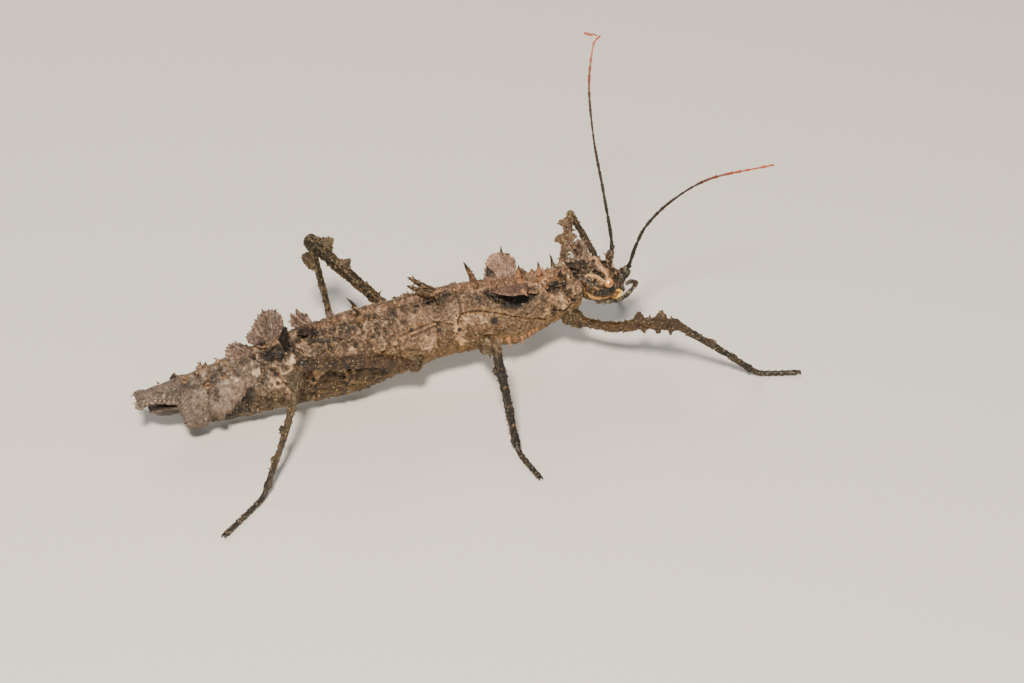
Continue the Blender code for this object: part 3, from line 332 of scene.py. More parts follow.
def chitin(name, hollow, ground, crest, glint, grit_size=0.16, mottle_size=0.9, rough=(0.30, 0.75), bump=0.7,
           dust=0.35, greyed=None):
    """Tanned insect cuticle: dull brown, paler on its raised grit and darker in its hollows, as painted light
    and shade.

    Specks of dust lie on it, and patches of wax give small sharp glints on an otherwise matt face. Its
    colour can fade to grey between two places along the body.
    """
    material = bpy.data.materials.new(name)
    material.use_nodes = True
    tree = material.node_tree
    shader = tree.nodes["Principled BSDF"]
    place = add(tree, "ShaderNodeTexCoord").outputs["Object"]
    tone = add(tree, "ShaderNodeAttribute", attribute_name="tone")
    parts = add(tree, "ShaderNodeSeparateColor", {"Color": tone.outputs["Color"]})
    mottle = add(tree, "ShaderNodeTexNoise", {
        "Vector": place, "Scale": 1 / (mottle_size * MM), "Detail": 6.0, "Roughness": 0.7, "Distortion": 0.6})
    grit = add(tree, "ShaderNodeTexNoise", {
        "Vector": place, "Scale": 1 / (grit_size * MM), "Detail": 3.0, "Roughness": 0.7})
    scales = add(tree, "ShaderNodeTexVoronoi", {
        "Vector": place, "Scale": 1 / (grit_size * 1.8 * MM), "Randomness": 1.0}, feature="DISTANCE_TO_EDGE")
    specks = add(tree, "ShaderNodeTexVoronoi", {"Vector": place, "Scale": 1 / (0.42 * MM), "Randomness": 1.0})
    level = add(tree, "ShaderNodeMath", {
        0: mottle.outputs["Fac"], 1: 0.6, 2: parts.outputs["Red"]}, operation="MULTIPLY_ADD")
    centred = add(tree, "ShaderNodeMath", {0: grit.outputs["Fac"], 1: 0.5}, operation="SUBTRACT")
    level = add(tree, "ShaderNodeMath", {0: centred.outputs[0], 1: 1.7, 2: level.outputs[0]},
                operation="MULTIPLY_ADD")
    if greyed:
        ahead = add(tree, "ShaderNodeSeparateXYZ", {"Vector": place})
        bounds = {"From Min": (greyed[0] - FOOTPRINT_MIDDLE[0]) * MM,
                  "From Max": (greyed[1] - FOOTPRINT_MIDDLE[0]) * MM}
        gritty = add(tree, "ShaderNodeMapRange", {
            "Value": ahead.outputs["X"], **bounds, "To Min": 0.8, "To Max": 1.6})
        tree.links.new(gritty.outputs["Result"], level.inputs[1])
    level = add(tree, "ShaderNodeMapRange", {
        "Value": level.outputs[0], "From Min": -0.25, "From Max": 0.95, "To Min": 0.0, "To Max": 1.0})
    # The ramp's hollow end is painted shade and its glint end painted highlights, over random mottle
    ramp = add(tree, "ShaderNodeValToRGB", {"Fac": level.outputs["Result"]})
    stops = ramp.color_ramp.elements
    stops[0].color = srgb(hollow)
    stops[1].color = srgb(glint)
    for spot, colour in ((0.40, ground), (0.70, crest)):
        stops.new(spot).color = srgb(colour)
    colour = ramp.outputs["Color"]
    for share, tint in ((parts.outputs["Green"], RUST), (parts.outputs["Blue"], OCHRE),
                        (tone.outputs["Alpha"], DARK_AND_SHADE)):
        amount = add(tree, "ShaderNodeMath", {0: grit.outputs["Fac"], 1: 0.9}, operation="MULTIPLY_ADD")
        amount.inputs[2].default_value = 0.5
        amount = add(tree, "ShaderNodeMath", {
            0: amount.outputs[0], 1: share}, operation="MULTIPLY", use_clamp=True)
        mixed = add(tree, "ShaderNodeMix", {
            0: amount.outputs[0], 6: colour, 7: srgb(tint)}, data_type="RGBA")
        colour = mixed.outputs[2]
    # One cell in five holds a speck of dust
    near = add(tree, "ShaderNodeMapRange", {
        "Value": specks.outputs["Distance"], "From Min": 0.13, "From Max": 0.21, "To Min": dust,
        "To Max": 0.0})
    chosen = add(tree, "ShaderNodeSeparateColor", {"Color": specks.outputs["Color"]})
    chosen = add(tree, "ShaderNodeMath", {0: chosen.outputs["Red"], 1: 0.8}, operation="GREATER_THAN")
    speck = add(tree, "ShaderNodeMath", {0: near.outputs["Result"], 1: chosen.outputs[0]},
                operation="MULTIPLY")
    mixed = add(tree, "ShaderNodeMix", {0: speck.outputs[0], 6: colour, 7: srgb(DUST)}, data_type="RGBA")
    colour = mixed.outputs[2]
    if greyed:
        colourful = add(tree, "ShaderNodeMapRange", {
            "Value": ahead.outputs["X"], **bounds, "To Min": 0.66, "To Max": 1.0})
        faded = add(tree, "ShaderNodeHueSaturation",
                    {"Saturation": colourful.outputs["Result"], "Color": colour})
        colour = faded.outputs["Color"]
    tree.links.new(colour, shader.inputs["Base Color"])
    dull = add(tree, "ShaderNodeMapRange", {
        "Value": mottle.outputs["Fac"], "From Min": 0.35, "From Max": 0.65, "To Min": rough[1],
        "To Max": rough[0]})
    tree.links.new(dull.outputs["Result"], shader.inputs["Roughness"])
    height = add(tree, "ShaderNodeMath", {
        0: scales.outputs["Distance"], 1: 0.8, 2: grit.outputs["Fac"]}, operation="MULTIPLY_ADD")
    relief = add(tree, "ShaderNodeBump", {
        "Height": height.outputs[0], "Strength": bump, "Distance": 0.08 * MM})
    tree.links.new(relief.outputs["Normal"], shader.inputs["Normal"])
    shader.inputs["Specular IOR Level"].default_value = 0.42
    return material


def trunk_wall(place, angle):
    """Points of the smooth body wall; the angle is counted from the back towards the left."""
    place, angle = np.broadcast_arrays(np.array(place, float), np.array(angle, float))
    sizes = through(TRUNK, place)
    turn = np.radians(angle)
    flank = 1 + 0.04 * bell(abs(angle), 80.0, 16.0)
    wide = sizes[..., 1] * BREADTH * np.sin(turn) * flank
    tall = sizes[..., 1] * HEIGHT * np.cos(turn) * flank
    return np.stack([place, wide, sizes[..., 0] + tall], axis=-1)


def trunk_out(place, angle):
    turn = np.radians(angle)
    return unit([0.0, np.sin(turn) / BREADTH, np.cos(turn) / HEIGHT])


def line_on(surface, line, step=0.08):
    """Points along a smooth line drawn on a surface by its places and angles."""
    rows = [(index, *spot) for index, spot in enumerate(line)]
    fine = through(rows, np.linspace(0, len(line) - 1, 12 * len(line)))
    rough_line = surface(fine[:, 0], fine[:, 1])
    count = max(int(np.linalg.norm(np.diff(rough_line, axis=0), axis=1).sum() / step), 2)
    fine = through(rows, np.linspace(0, len(line) - 1, count))
    return surface(fine[:, 0], fine[:, 1])


def mirrored(line):
    return [(place, -angle) for place, angle in line]


def carve(points, surface, sutures, ridges, spots, groove=0.075, depth=0.20):
    """Height and tone that sutures, ridges and spots on both flanks give each point of a wall."""
    height = np.zeros(len(points))
    tone = np.zeros((len(points), 4))
    for flip in (False, True):
        for line in sutures:
            route = line_on(surface, mirrored(line) if flip else line)
            deep = nearness(points, route, groove)
            edge = nearness(points, route, groove * 2.6) - deep
            height += 0.05 * edge - depth * deep
            tone += edge[:, None] * np.array([0.15, 0.15, 0.28, 0.0])
            tone += deep[:, None] * np.array([-0.8, 0.0, 0.0, 1.3])
        for line, width, rise, tint in ridges:
            near = nearness(points, line_on(surface, mirrored(line) if flip else line), width)
            height += near * rise
            tone += near[:, None] * np.array(tint)
        for place, angle, radius, rise, tint in spots:
            near = nearness(points, surface(place, -angle if flip else angle), radius)
            height += near * rise
            tone += near[:, None] * np.array(tint)
    return height, tone


count = int((TRUNK_ENDS[1] - TRUNK_ENDS[0]) / SKIN_STEP)
places = np.linspace(*TRUNK_ENDS, count)[:, None]
angles = (np.arange(TRUNK_SIDES) * 360.0 / TRUNK_SIDES + 180.0) % 360.0 - 180.0
grid = trunk_wall(places, angles[None])
normals = wall_normals(grid).reshape(-1, 3)
points = grid.reshape(-1, 3)
all_places = np.repeat(places.ravel(), TRUNK_SIDES)
all_angles = np.tile(angles, count)
from_back = abs(all_angles)
warp = np.stack([wrinkle(points, 1.3, shift) for shift in (3.1, 17.7, 29.3)], axis=1) * 0.45
coarse = wrinkle(points, 2.1)
middle = wrinkle(points + warp, 0.75, 5.0)
fine = wrinkle(points, 0.30, 9.0)
tiny = wrinkle(points, 0.17, 2.0)
net = veins(points + warp, 1.05)
small_net = veins(points + warp * 0.5, 0.55, 11.0)
abdomen = np.clip((-0.5 - all_places) / 2.0, 0, 1)
tail_end = np.clip((-15.0 - all_places) / 1.5, 0, 1)
rugged = abdomen * (1 - tail_end)
breast = np.clip((all_places - 13.5) / 1.5, 0, 1)
belly = np.clip((from_back - 95.0) / 25.0, 0, 1)
shaded = np.clip((from_back - 62.0) / 30.0, 0, 1) * (abdomen * 0.75 + 0.12)
height = 0.12 * coarse + (0.14 + 0.10 * breast) * middle
height += ((0.12 + 0.02 * breast) * fine + 0.065 * tiny) * (1 - 0.5 * tail_end)
height += rugged * (0.17 * net - 0.03) + (1 - rugged) * 0.08 * small_net * (1 - tail_end * 0.7)
smooth_flank = (1 - abdomen) * (1 - breast)
pits = np.clip((tiny - 0.30) / 0.2, 0, 1) * (tail_end + 0.7 * smooth_flank)
height -= 0.08 * pits
# The relief channel of the tone makes raised skin paler and sunken skin darker: painted light and shade over
# the random mottle
tone = np.zeros((len(points), 4))
tone[:, 0] = 0.22 * middle + 0.42 * fine + 0.42 * tiny
tone[:, 0] *= 1 - 0.5 * tail_end - 0.35 * smooth_flank - 0.4 * shaded
tone[:, 0] += 0.22 * coarse * (tail_end + 0.6 * smooth_flank)
tone[:, 0] += 0.04 + 0.04 * breast
tone[:, 0] += rugged * (0.42 * net - 0.17) + (1 - rugged) * (0.20 * small_net - 0.05) - 0.02 * tail_end
tone[:, 3] += rugged * np.clip(0.30 - 0.9 * net + 0.5 * middle, 0, 1) * 0.34 + pits * 0.9
# Painted shade darkens the shaded lower flank, the deepest hollows and a band just under the keel
tone[:, 3] += (
    0.84 * shaded + 1.2 * np.clip(-0.38 - fine, 0, 1) + 0.6 * np.clip(-0.45 - middle, 0, 1)
    + 0.22 * bell(from_back, 14.0, 7.0) * (1 - breast)
)
tone[:, 1] += 0.15 * np.clip(wrinkle(points, 1.7, 41.0) - 0.1, 0, 1)
# Belly and lower flank are yellowed with a fine speckle as painted bounce light; the belly is also painted
# darker as shade
tone[:, 2] += 0.20 * belly + 0.34 * shaded * np.clip(0.5 + fine, 0, 1)
tone[:, 0] -= 0.20 * belly
# The keel is a worn, rusty ridge with an uneven edge, and the rings end in low rims over a fold
keel = bell(all_angles + 2.0 * coarse, 0.0, 3.4) * (1 + 0.6 * wrinkle(points, 0.40, 31.0))
keel_fade = np.clip((all_places + 22.5) / 2.0, 0.0, 1.0) * np.clip((18.6 - all_places) / 1.0, 0.0, 1.0)
keel = np.clip(keel, 0, 1.3) * keel_fade
height += 0.32 * keel
tone[:, 1] += 0.40 * keel * (1 - 0.45 * tail_end) * (1 - 0.7 * bell(all_places, -14.2, 1.6))
tone[:, 0] -= 0.06 * keel
for back, flank, depth in RINGS:
    rim_place = back + (flank - back) * np.clip((from_back - 20.0) / 70.0, 0, 1)
    rim_place = rim_place + 0.35 * coarse + 0.12 * middle
    step_behind = all_places - rim_place
    groove = bell(step_behind, -0.10, 0.14)
    rim = bell(step_behind, 0.28, 0.25)
    height += 0.55 * depth * rim - depth * groove
    tone += (groove * depth * 4)[:, None] * np.array([-0.4, 0.0, 0.0, 0.5])
    tone += (rim * depth * 4)[:, None] * np.array([0.22, 0.05, 0.05, 0.0])
marks, tints = carve(points, trunk_wall, SUTURES, RIDGES, SPOTS)
uneven = 1 + 0.6 * fine + 0.4 * middle
height += marks * uneven
tone += tints * np.clip(uneven, 0.3, 1.5)[:, None]
for flip in (1, -1):
    for place, angle in SPIRACLES:
        centre = trunk_wall(place, flip * angle)
        hole = nearness(points, centre, 0.20)
        ring = nearness(points, centre, 0.41) - hole
        height += 0.12 * ring - 0.22 * hole
        tone += ring[:, None] * np.array([1.2, 0.0, 0.5, -0.9]) + hole[:, None] * np.array([-1.0, 0, 0, 1.6])
    # Painted shade: each stretch darkens the skin and sinks it a little
    for place, angle, radius, strength in SHADES:
        shade = nearness(points, trunk_wall(place, flip * angle), radius) * (1 - np.clip(keel * 1.4, 0, 1))
        tone[:, 3] += shade * strength * np.clip(0.8 + 0.5 * middle, 0.3, 1.3)
        tone[:, 0] -= 0.25 * shade * strength
        height -= 0.12 * shade * strength
lump = bell(all_places, 15.9, 0.8) * bell(from_back, 62.0, 24.0)
height += 0.16 * lump
ends = np.minimum((all_places - TRUNK_ENDS[0]) / 0.5, (TRUNK_ENDS[1] - all_places) / 0.4)
height *= np.clip(ends, 0, 1)
grid = (points + normals * height[:, None]).reshape(grid.shape)
middle_line = grid.mean(axis=1, keepdims=True)
for ring, share in ((0, 0.80), (1, 0.93), (-1, 0.80), (-2, 0.93)):
    grid[ring] = middle_line[ring] + (grid[ring] - middle_line[ring]) * share
tone[:, 3] = np.clip(tone[:, 3], 0, 1)
tone[:, 1:3] = np.clip(tone[:, 1:3], 0, 1)

body_chitin = chitin("tanned_body_chitin", "#15110c", "#4a3a2a", "#826850", "#cdaf8e", bump=1.0,
                     greyed=(-19.0, -9.0))

body_skin = make_piece(
    "body_skin", [closed_body(grid, tone.reshape(*grid.shape[:2], 4))], body_chitin,
    ("prothorax", "mesothorax", "metathorax", "abdomen_front", "abdomen_middle", "abdomen_rear"))
skin_grid = grid
skin_places = places.ravel()


def skin_point(place, angle):
    """Point of the finished skin at a place and an angle from the back."""
    ring = int(np.argmin(abs(skin_places - place)))
    side = int(np.argmin(abs((angles - angle + 180.0) % 360.0 - 180.0)))
    return skin_grid[ring, side]


# Grains of the trunk
# Hard grains of chitin and specks of pale dust stand all over the body wall, thickest on the belly.
# They are strewn by Geometry Nodes over the skin, each a small squashed ball.


def grain_tree(name, material):
    tree = bpy.data.node_groups.new(name, "GeometryNodeTree")
    face = tree.interface
    face.new_socket("Geometry", in_out="INPUT", socket_type="NodeSocketGeometry")
    for label, kind in (("Density", "Float"), ("Size", "Float"), ("Seed", "Int")):
        face.new_socket(label, in_out="INPUT", socket_type="NodeSocket" + kind)
    face.new_socket("Geometry", in_out="OUTPUT", socket_type="NodeSocketGeometry")
    given = add(tree, "NodeGroupInput").outputs
    clump = add(tree, "ShaderNodeTexNoise", {"Scale": 1 / (1.4 * MM), "Detail": 2.0})
    share = add(tree, "ShaderNodeMapRange", {
        "Value": clump.outputs[0], "From Min": 0.42, "From Max": 0.62, "To Min": 0.25, "To Max": 1.6})
    dense = add(tree, "ShaderNodeMath", {0: share.outputs[0], 1: given["Density"]}, operation="MULTIPLY")
    strewn = add(tree, "GeometryNodeDistributePointsOnFaces", {
        "Mesh": given["Geometry"], "Density": dense.outputs[0], "Seed": given["Seed"]})
    ball = add(tree, "GeometryNodeMeshIcoSphere", {"Radius": 1.0, "Subdivisions": 1})
    size = add(tree, "FunctionNodeRandomValue", {"Seed": 4}, data_type="FLOAT")
    size.inputs[2].default_value = 0.45
    size.inputs[3].default_value = 1.35
    scaled = add(tree, "ShaderNodeMath", {0: size.outputs[1], 1: given["Size"]}, operation="MULTIPLY")
    low = add(tree, "ShaderNodeMath", {0: scaled.outputs[0], 1: 0.75}, operation="MULTIPLY")
    scale = add(tree, "ShaderNodeCombineXYZ", {0: scaled.outputs[0], 1: scaled.outputs[0], 2: low.outputs[0]})
    placed = add(tree, "GeometryNodeInstanceOnPoints", {
        "Points": strewn.outputs["Points"], "Instance": ball.outputs["Mesh"],
        "Rotation": strewn.outputs["Rotation"], "Scale": scale.outputs[0]})
    pale = add(tree, "FunctionNodeRandomValue", {"Seed": 9}, data_type="FLOAT")
    noted = add(tree, "GeometryNodeStoreNamedAttribute", {
        "Geometry": placed.outputs[0], "Name": "pale"}, data_type="FLOAT", domain="INSTANCE")
    tree.links.new(pale.outputs[1], noted.inputs["Value"])
    real = add(tree, "GeometryNodeRealizeInstances", {"Geometry": noted.outputs[0]})
    painted = add(tree, "GeometryNodeSetMaterial", {"Geometry": real.outputs[0], "Material": material})
    add(tree, "NodeGroupOutput", {"Geometry": painted.outputs[0]})
    return tree


def grown_mesh(name, data, tree, sizes):
    """Plain mesh that a tree grows from a mesh or a curve, with sizes for its inputs."""
    carrier = bpy.data.objects.new(name + "_carrier", data)
    bpy.context.scene.collection.objects.link(carrier)
    step = carrier.modifiers.new("growth", "NODES")
    step.node_group = tree
    for socket in tree.interface.items_tree:
        if socket.in_out == "INPUT" and socket.name in sizes:
            step[socket.identifier] = sizes[socket.name]
    mesh = bpy.data.meshes.new_from_object(carrier.evaluated_get(bpy.context.evaluated_depsgraph_get()))
    bpy.data.objects.remove(carrier, do_unlink=True)
    mesh.name = name
    return mesh


def strew(name, host, tree, density, size, seed):
    """Grains that a tree strews over a piece."""
    mesh = grown_mesh(name, host.data, tree, {"Density": density / MM**2, "Size": size * MM, "Seed": seed})
    mesh.shade_smooth()
    return placed_piece(name, mesh)


def grain_chitin(name, dark, brown, tan, cream):
    """Grains of chitin and dust: most as brown as the wall, a few worn to tan or nearly white."""
    material = bpy.data.materials.new(name)
    material.use_nodes = True
    tree = material.node_tree
    shader = tree.nodes["Principled BSDF"]
    pale = add(tree, "ShaderNodeAttribute", attribute_name="pale")
    ramp = add(tree, "ShaderNodeValToRGB", {"Fac": pale.outputs["Fac"]})
    stops = ramp.color_ramp.elements
    stops[0].color = srgb(dark)
    stops[1].color = srgb(cream)
    for spot, colour in ((0.35, brown), (0.80, tan)):
        stops.new(spot).color = srgb(colour)
    place = add(tree, "ShaderNodeTexCoord").outputs["Object"]
    grit = add(tree, "ShaderNodeTexNoise", {"Vector": place, "Scale": 1 / (0.12 * MM), "Detail": 2.0})
    mixed = add(tree, "ShaderNodeMix", {
        0: grit.outputs["Fac"], 6: ramp.outputs["Color"], 7: srgb(brown)}, data_type="RGBA")
    tree.links.new(mixed.outputs[2], shader.inputs["Base Color"])
    dull = add(tree, "ShaderNodeMapRange", {"Value": grit.outputs["Fac"], "To Min": 0.35, "To Max": 0.7})
    tree.links.new(dull.outputs["Result"], shader.inputs["Roughness"])
    return material


body_grains = grain_chitin("grains_of_chitin", "#251c12", "#5e4831", "#94795a", "#d9c190")
trunk_grains = grain_tree("trunk_grains", body_grains)
strew("body_grains", body_skin, trunk_grains, 9.0, 0.075, 3)

# Thorns of the trunk
# Paired thorns of the back and flanks, a row of blunt teeth along the keel and a comb under the breast.
# Each is a horn-hard cone with a waisted root and a black tip, grown from the body wall.
# Place, angle from the back, length, root radius, backward lean, and how far it is orange
THORNS = [
    (16.55, 22.0, 1.75, 0.36, 0.15, 0.0), (17.6, 34.0, 0.60, 0.18, 0.0, 0.2),
    (16.9, 78.0, 0.55, 0.22, 0.2, 0.1), (14.95, 9.0, 1.40, 0.38, 0.10, 1.0),
    (12.75, 8.0, 1.45, 0.38, -0.1, 1.0), (13.6, 14.0, 0.60, 0.16, 0.1, 1.0),
    (14.3, 18.0, 0.55, 0.16, 0.0, 1.0), (15.5, 20.0, 0.50, 0.16, 0.0, 1.0),
    (15.0, 34.0, 0.40, 0.18, 0.1, 0.9), (13.6, 60.0, 0.35, 0.15, 0.2, 0.5), (5.6, 62.0, 0.35, 0.16, 0.3, 0.3),
    (1.6, 52.0, 0.35, 0.16, 0.3, 0.2), (-4.2, 9.0, 1.75, 0.38, 0.9, 0.0), (-1.9, 40.0, 0.35, 0.16, 0.4, 0.2),
    (-6.6, 96.0, 0.45, 0.18, 0.3, 0.1), (-10.6, 60.0, 0.40, 0.18, 0.4, 0.3),
    (-10.9, 98.0, 0.45, 0.18, 0.3, 0.1), (-18.4, 30.0, 0.40, 0.20, 0.4, 0.2),
    (-22.0, 10.0, 0.50, 0.20, 0.3, 0.2), (15.6, 8.0, 0.45, 0.15, 0.1, 0.9),
    (17.2, 12.0, 0.40, 0.14, 0.1, 0.4), (-20.0, 41.5, 0.45, 0.26, 0.1, 0.2),
]
# Smooth dark beads of the flank: place, angle from the back, radius
BEADS = [(0.41, 55.0, 0.22), (5.28, 78.0, 0.24), (15.22, 89.5, 0.27), (-16.2, 97.0, 0.16)]
BREAST_COMB = [(9.7, 115.0, 0.35), (10.5, 116.0, 0.80), (11.2, 118.0, 0.35), (11.9, 117.0, 0.70),
               (12.3, 115.0, 0.30), (12.75, 113.0, 0.65), (13.1, 114.0, 0.30), (13.55, 114.0, 0.55)]
FLANK_TEETH = 190
UP = np.array([0.0, 0.0, 1.0])


def frames_along(path):
    """Directions ahead, across and upward at each point of a path, with no twist."""
    ahead = unit(np.gradient(path, axis=0))
    guide = UP if abs(ahead[0, 2]) < 0.95 else np.array([1.0, 0.0, 0.0])
    side = unit(np.cross(ahead[0], guide))
    across = []
    for direction in ahead:
        side = unit(side - direction * side.dot(direction))
        across.append(side)
    across = np.array(across)
    return ahead, across, np.cross(across, ahead)


def rod_grid(path, radii, sides, reach=1.0, flat=1.0):
    """Rings of points about a path; reach widens each point, flat narrows it across."""
    _, across, upward = frames_along(path)
    turn = 2 * math.pi * np.arange(sides) / sides
    girth = np.asarray(radii)[:, None] * reach * np.ones((1, sides))
    wide = (np.cos(turn)[None] * girth * flat)[..., None] * across[:, None]
    tall = (np.sin(turn)[None] * girth)[..., None] * upward[:, None]
    return path[:, None] + wide + tall


def thorn(root, direction, length, radius, lean=(0.0, 0.0, 0.0), orange=0.0, sides=9, sink=0.35, black=0.45):
    """Waisted, slightly crooked cone from a sunk root to a black tip."""
    direction = unit(direction)
    share = np.array([-sink / length, 0.0, 0.1, 0.22, 0.38, 0.55, 0.72, 0.87, 0.96, 1.0])
    girth = np.array([1.35, 1.20, 0.88, 0.70, 0.62, 0.44, 0.34, 0.20, 0.10, 0.03]) * radius
    bend = np.array(lean) * (np.clip(share, 0, 1) ** 2)[:, None]
    path = root + direction * (length * share)[:, None] + bend
    crook = wrinkle(path, 0.5, 6.0) * 0.12 * radius
    path = path + crook[:, None] * np.array([1.0, 0.6, 0.0])
    grid = rod_grid(path, girth, sides)
    knobs = wrinkle(grid.reshape(-1, 3), 0.25, 8.0).reshape(grid.shape[:2])
    grid = path[:, None] + (grid - path[:, None]) * (1 + 0.25 * knobs)[..., None]
    tone = np.zeros((*grid.shape[:2], 4))
    # The knobs are painted lighter, as painted highlights
    tone[..., 0] = (0.20 * (1 - share))[:, None] + 0.5 * knobs
    tone[..., 0] += 0.30 * orange
    tone[..., 1] = 0.75 * orange
    tone[..., 2] = (0.15 * orange * np.clip(1.2 - share, 0, 1))[:, None]
    tone[..., 3] = (np.clip((share - black) / 0.25, 0, 1) * 0.95)[:, None]
    return closed_body(grid, tone)


draw = random.Random(BRISTLE_SEED)
bodies = []
for place, angle, length, radius, lean, orange in THORNS:
    for side in SIDES.values():
        root = skin_point(place, side * angle)
        tall = length * 0.55 if side < 0 and orange == 1.0 else length
        bodies.append(thorn(root, trunk_out(place, side * angle), tall, radius, (-lean, 0.0, 0.0), orange,
                            black=0.2 if length > 1.7 else 0.5))
for place, angle, length in BREAST_COMB:
    for side in SIDES.values():
        root = skin_point(place, side * angle)
        bodies.append(thorn(root, trunk_out(place, side * angle) - 0.5 * UP, length, 0.18 * length + 0.10,
                            (0.0, 0.0, 0.0), 1.2, black=0.95))
for place, angle, radius in BEADS:
    for side in SIDES.values():
        rise = np.array([-0.8, -0.3, 0.15, 0.45, 0.68, 0.85, 0.96, 1.0]) * radius
        girth = np.array([0.7, 1.0, 1.0, 0.89, 0.73, 0.53, 0.28, 0.06]) * radius
        line = skin_point(place, side * angle) + trunk_out(place, side * angle) * rise[:, None]
        grid = rod_grid(line, girth, 16)
        tone = np.zeros((*grid.shape[:2], 4)) + np.array([-0.3, 0.2, 0.0, 0.8])
        bodies.append(closed_body(grid, tone))
place = TRUNK_ENDS[0] + 1.2
while place < TRUNK_ENDS[1] - 1.6:
    length = draw.uniform(0.15, 0.36)
    root = skin_point(place, draw.uniform(-4.0, 4.0))
    lean = (-draw.uniform(0.0, 0.25), draw.uniform(-0.08, 0.08), 0.0)
    bodies.append(thorn(root, UP, length, 0.11, lean, draw.uniform(0.1, 0.5), 6, 0.2, 0.8))
    place += draw.uniform(0.22, 0.60)
for _ in range(FLANK_TEETH):
    place = draw.uniform(-21.5, 17.5)
    angle = draw.choice((-1, 1)) * draw.uniform(12.0, 125.0)
    root = skin_point(place, angle)
    length = draw.uniform(0.12, 0.28)
    bodies.append(thorn(root, trunk_out(place, angle), length, 0.10, (-0.08, 0.0, 0.0),
                        draw.uniform(0.0, 0.5), 6, 0.15, 0.7))
thorn_chitin = chitin("horny_thorn_chitin", "#19130e", "#4e3c2b", "#84694e", "#c0a383", 0.12, 0.6,
                      (0.22, 0.5), 0.4)
make_piece("body_thorns", bodies, thorn_chitin)

# Leaf-like plates of the trunk
# Thin ribbed flaps of chitin with toothed margins stand on the breast, back and flanks like dead leaves.
# Each is grown from the body wall, thick at the root, and worn thin and ragged at its edge.


def pushed_out(points, gap, hold):
    """Points moved out to stand at least a gap off the smooth body wall, or just that where they are held."""
    sizes = through(TRUNK, points[..., 0])
    wide = points[..., 1] / (sizes[..., 1] * BREADTH)
    tall = (points[..., 2] - sizes[..., 0]) / (sizes[..., 1] * HEIGHT)
    push = (1 + gap / sizes[..., 1]) / (np.sqrt(wide**2 + tall**2) + 1e-6)
    push = hold * push + (1 - hold) * np.maximum(push, 1)
    tall = sizes[..., 0] + (points[..., 2] - sizes[..., 0]) * push
    return np.stack([points[..., 0], points[..., 1] * push, tall], axis=-1)


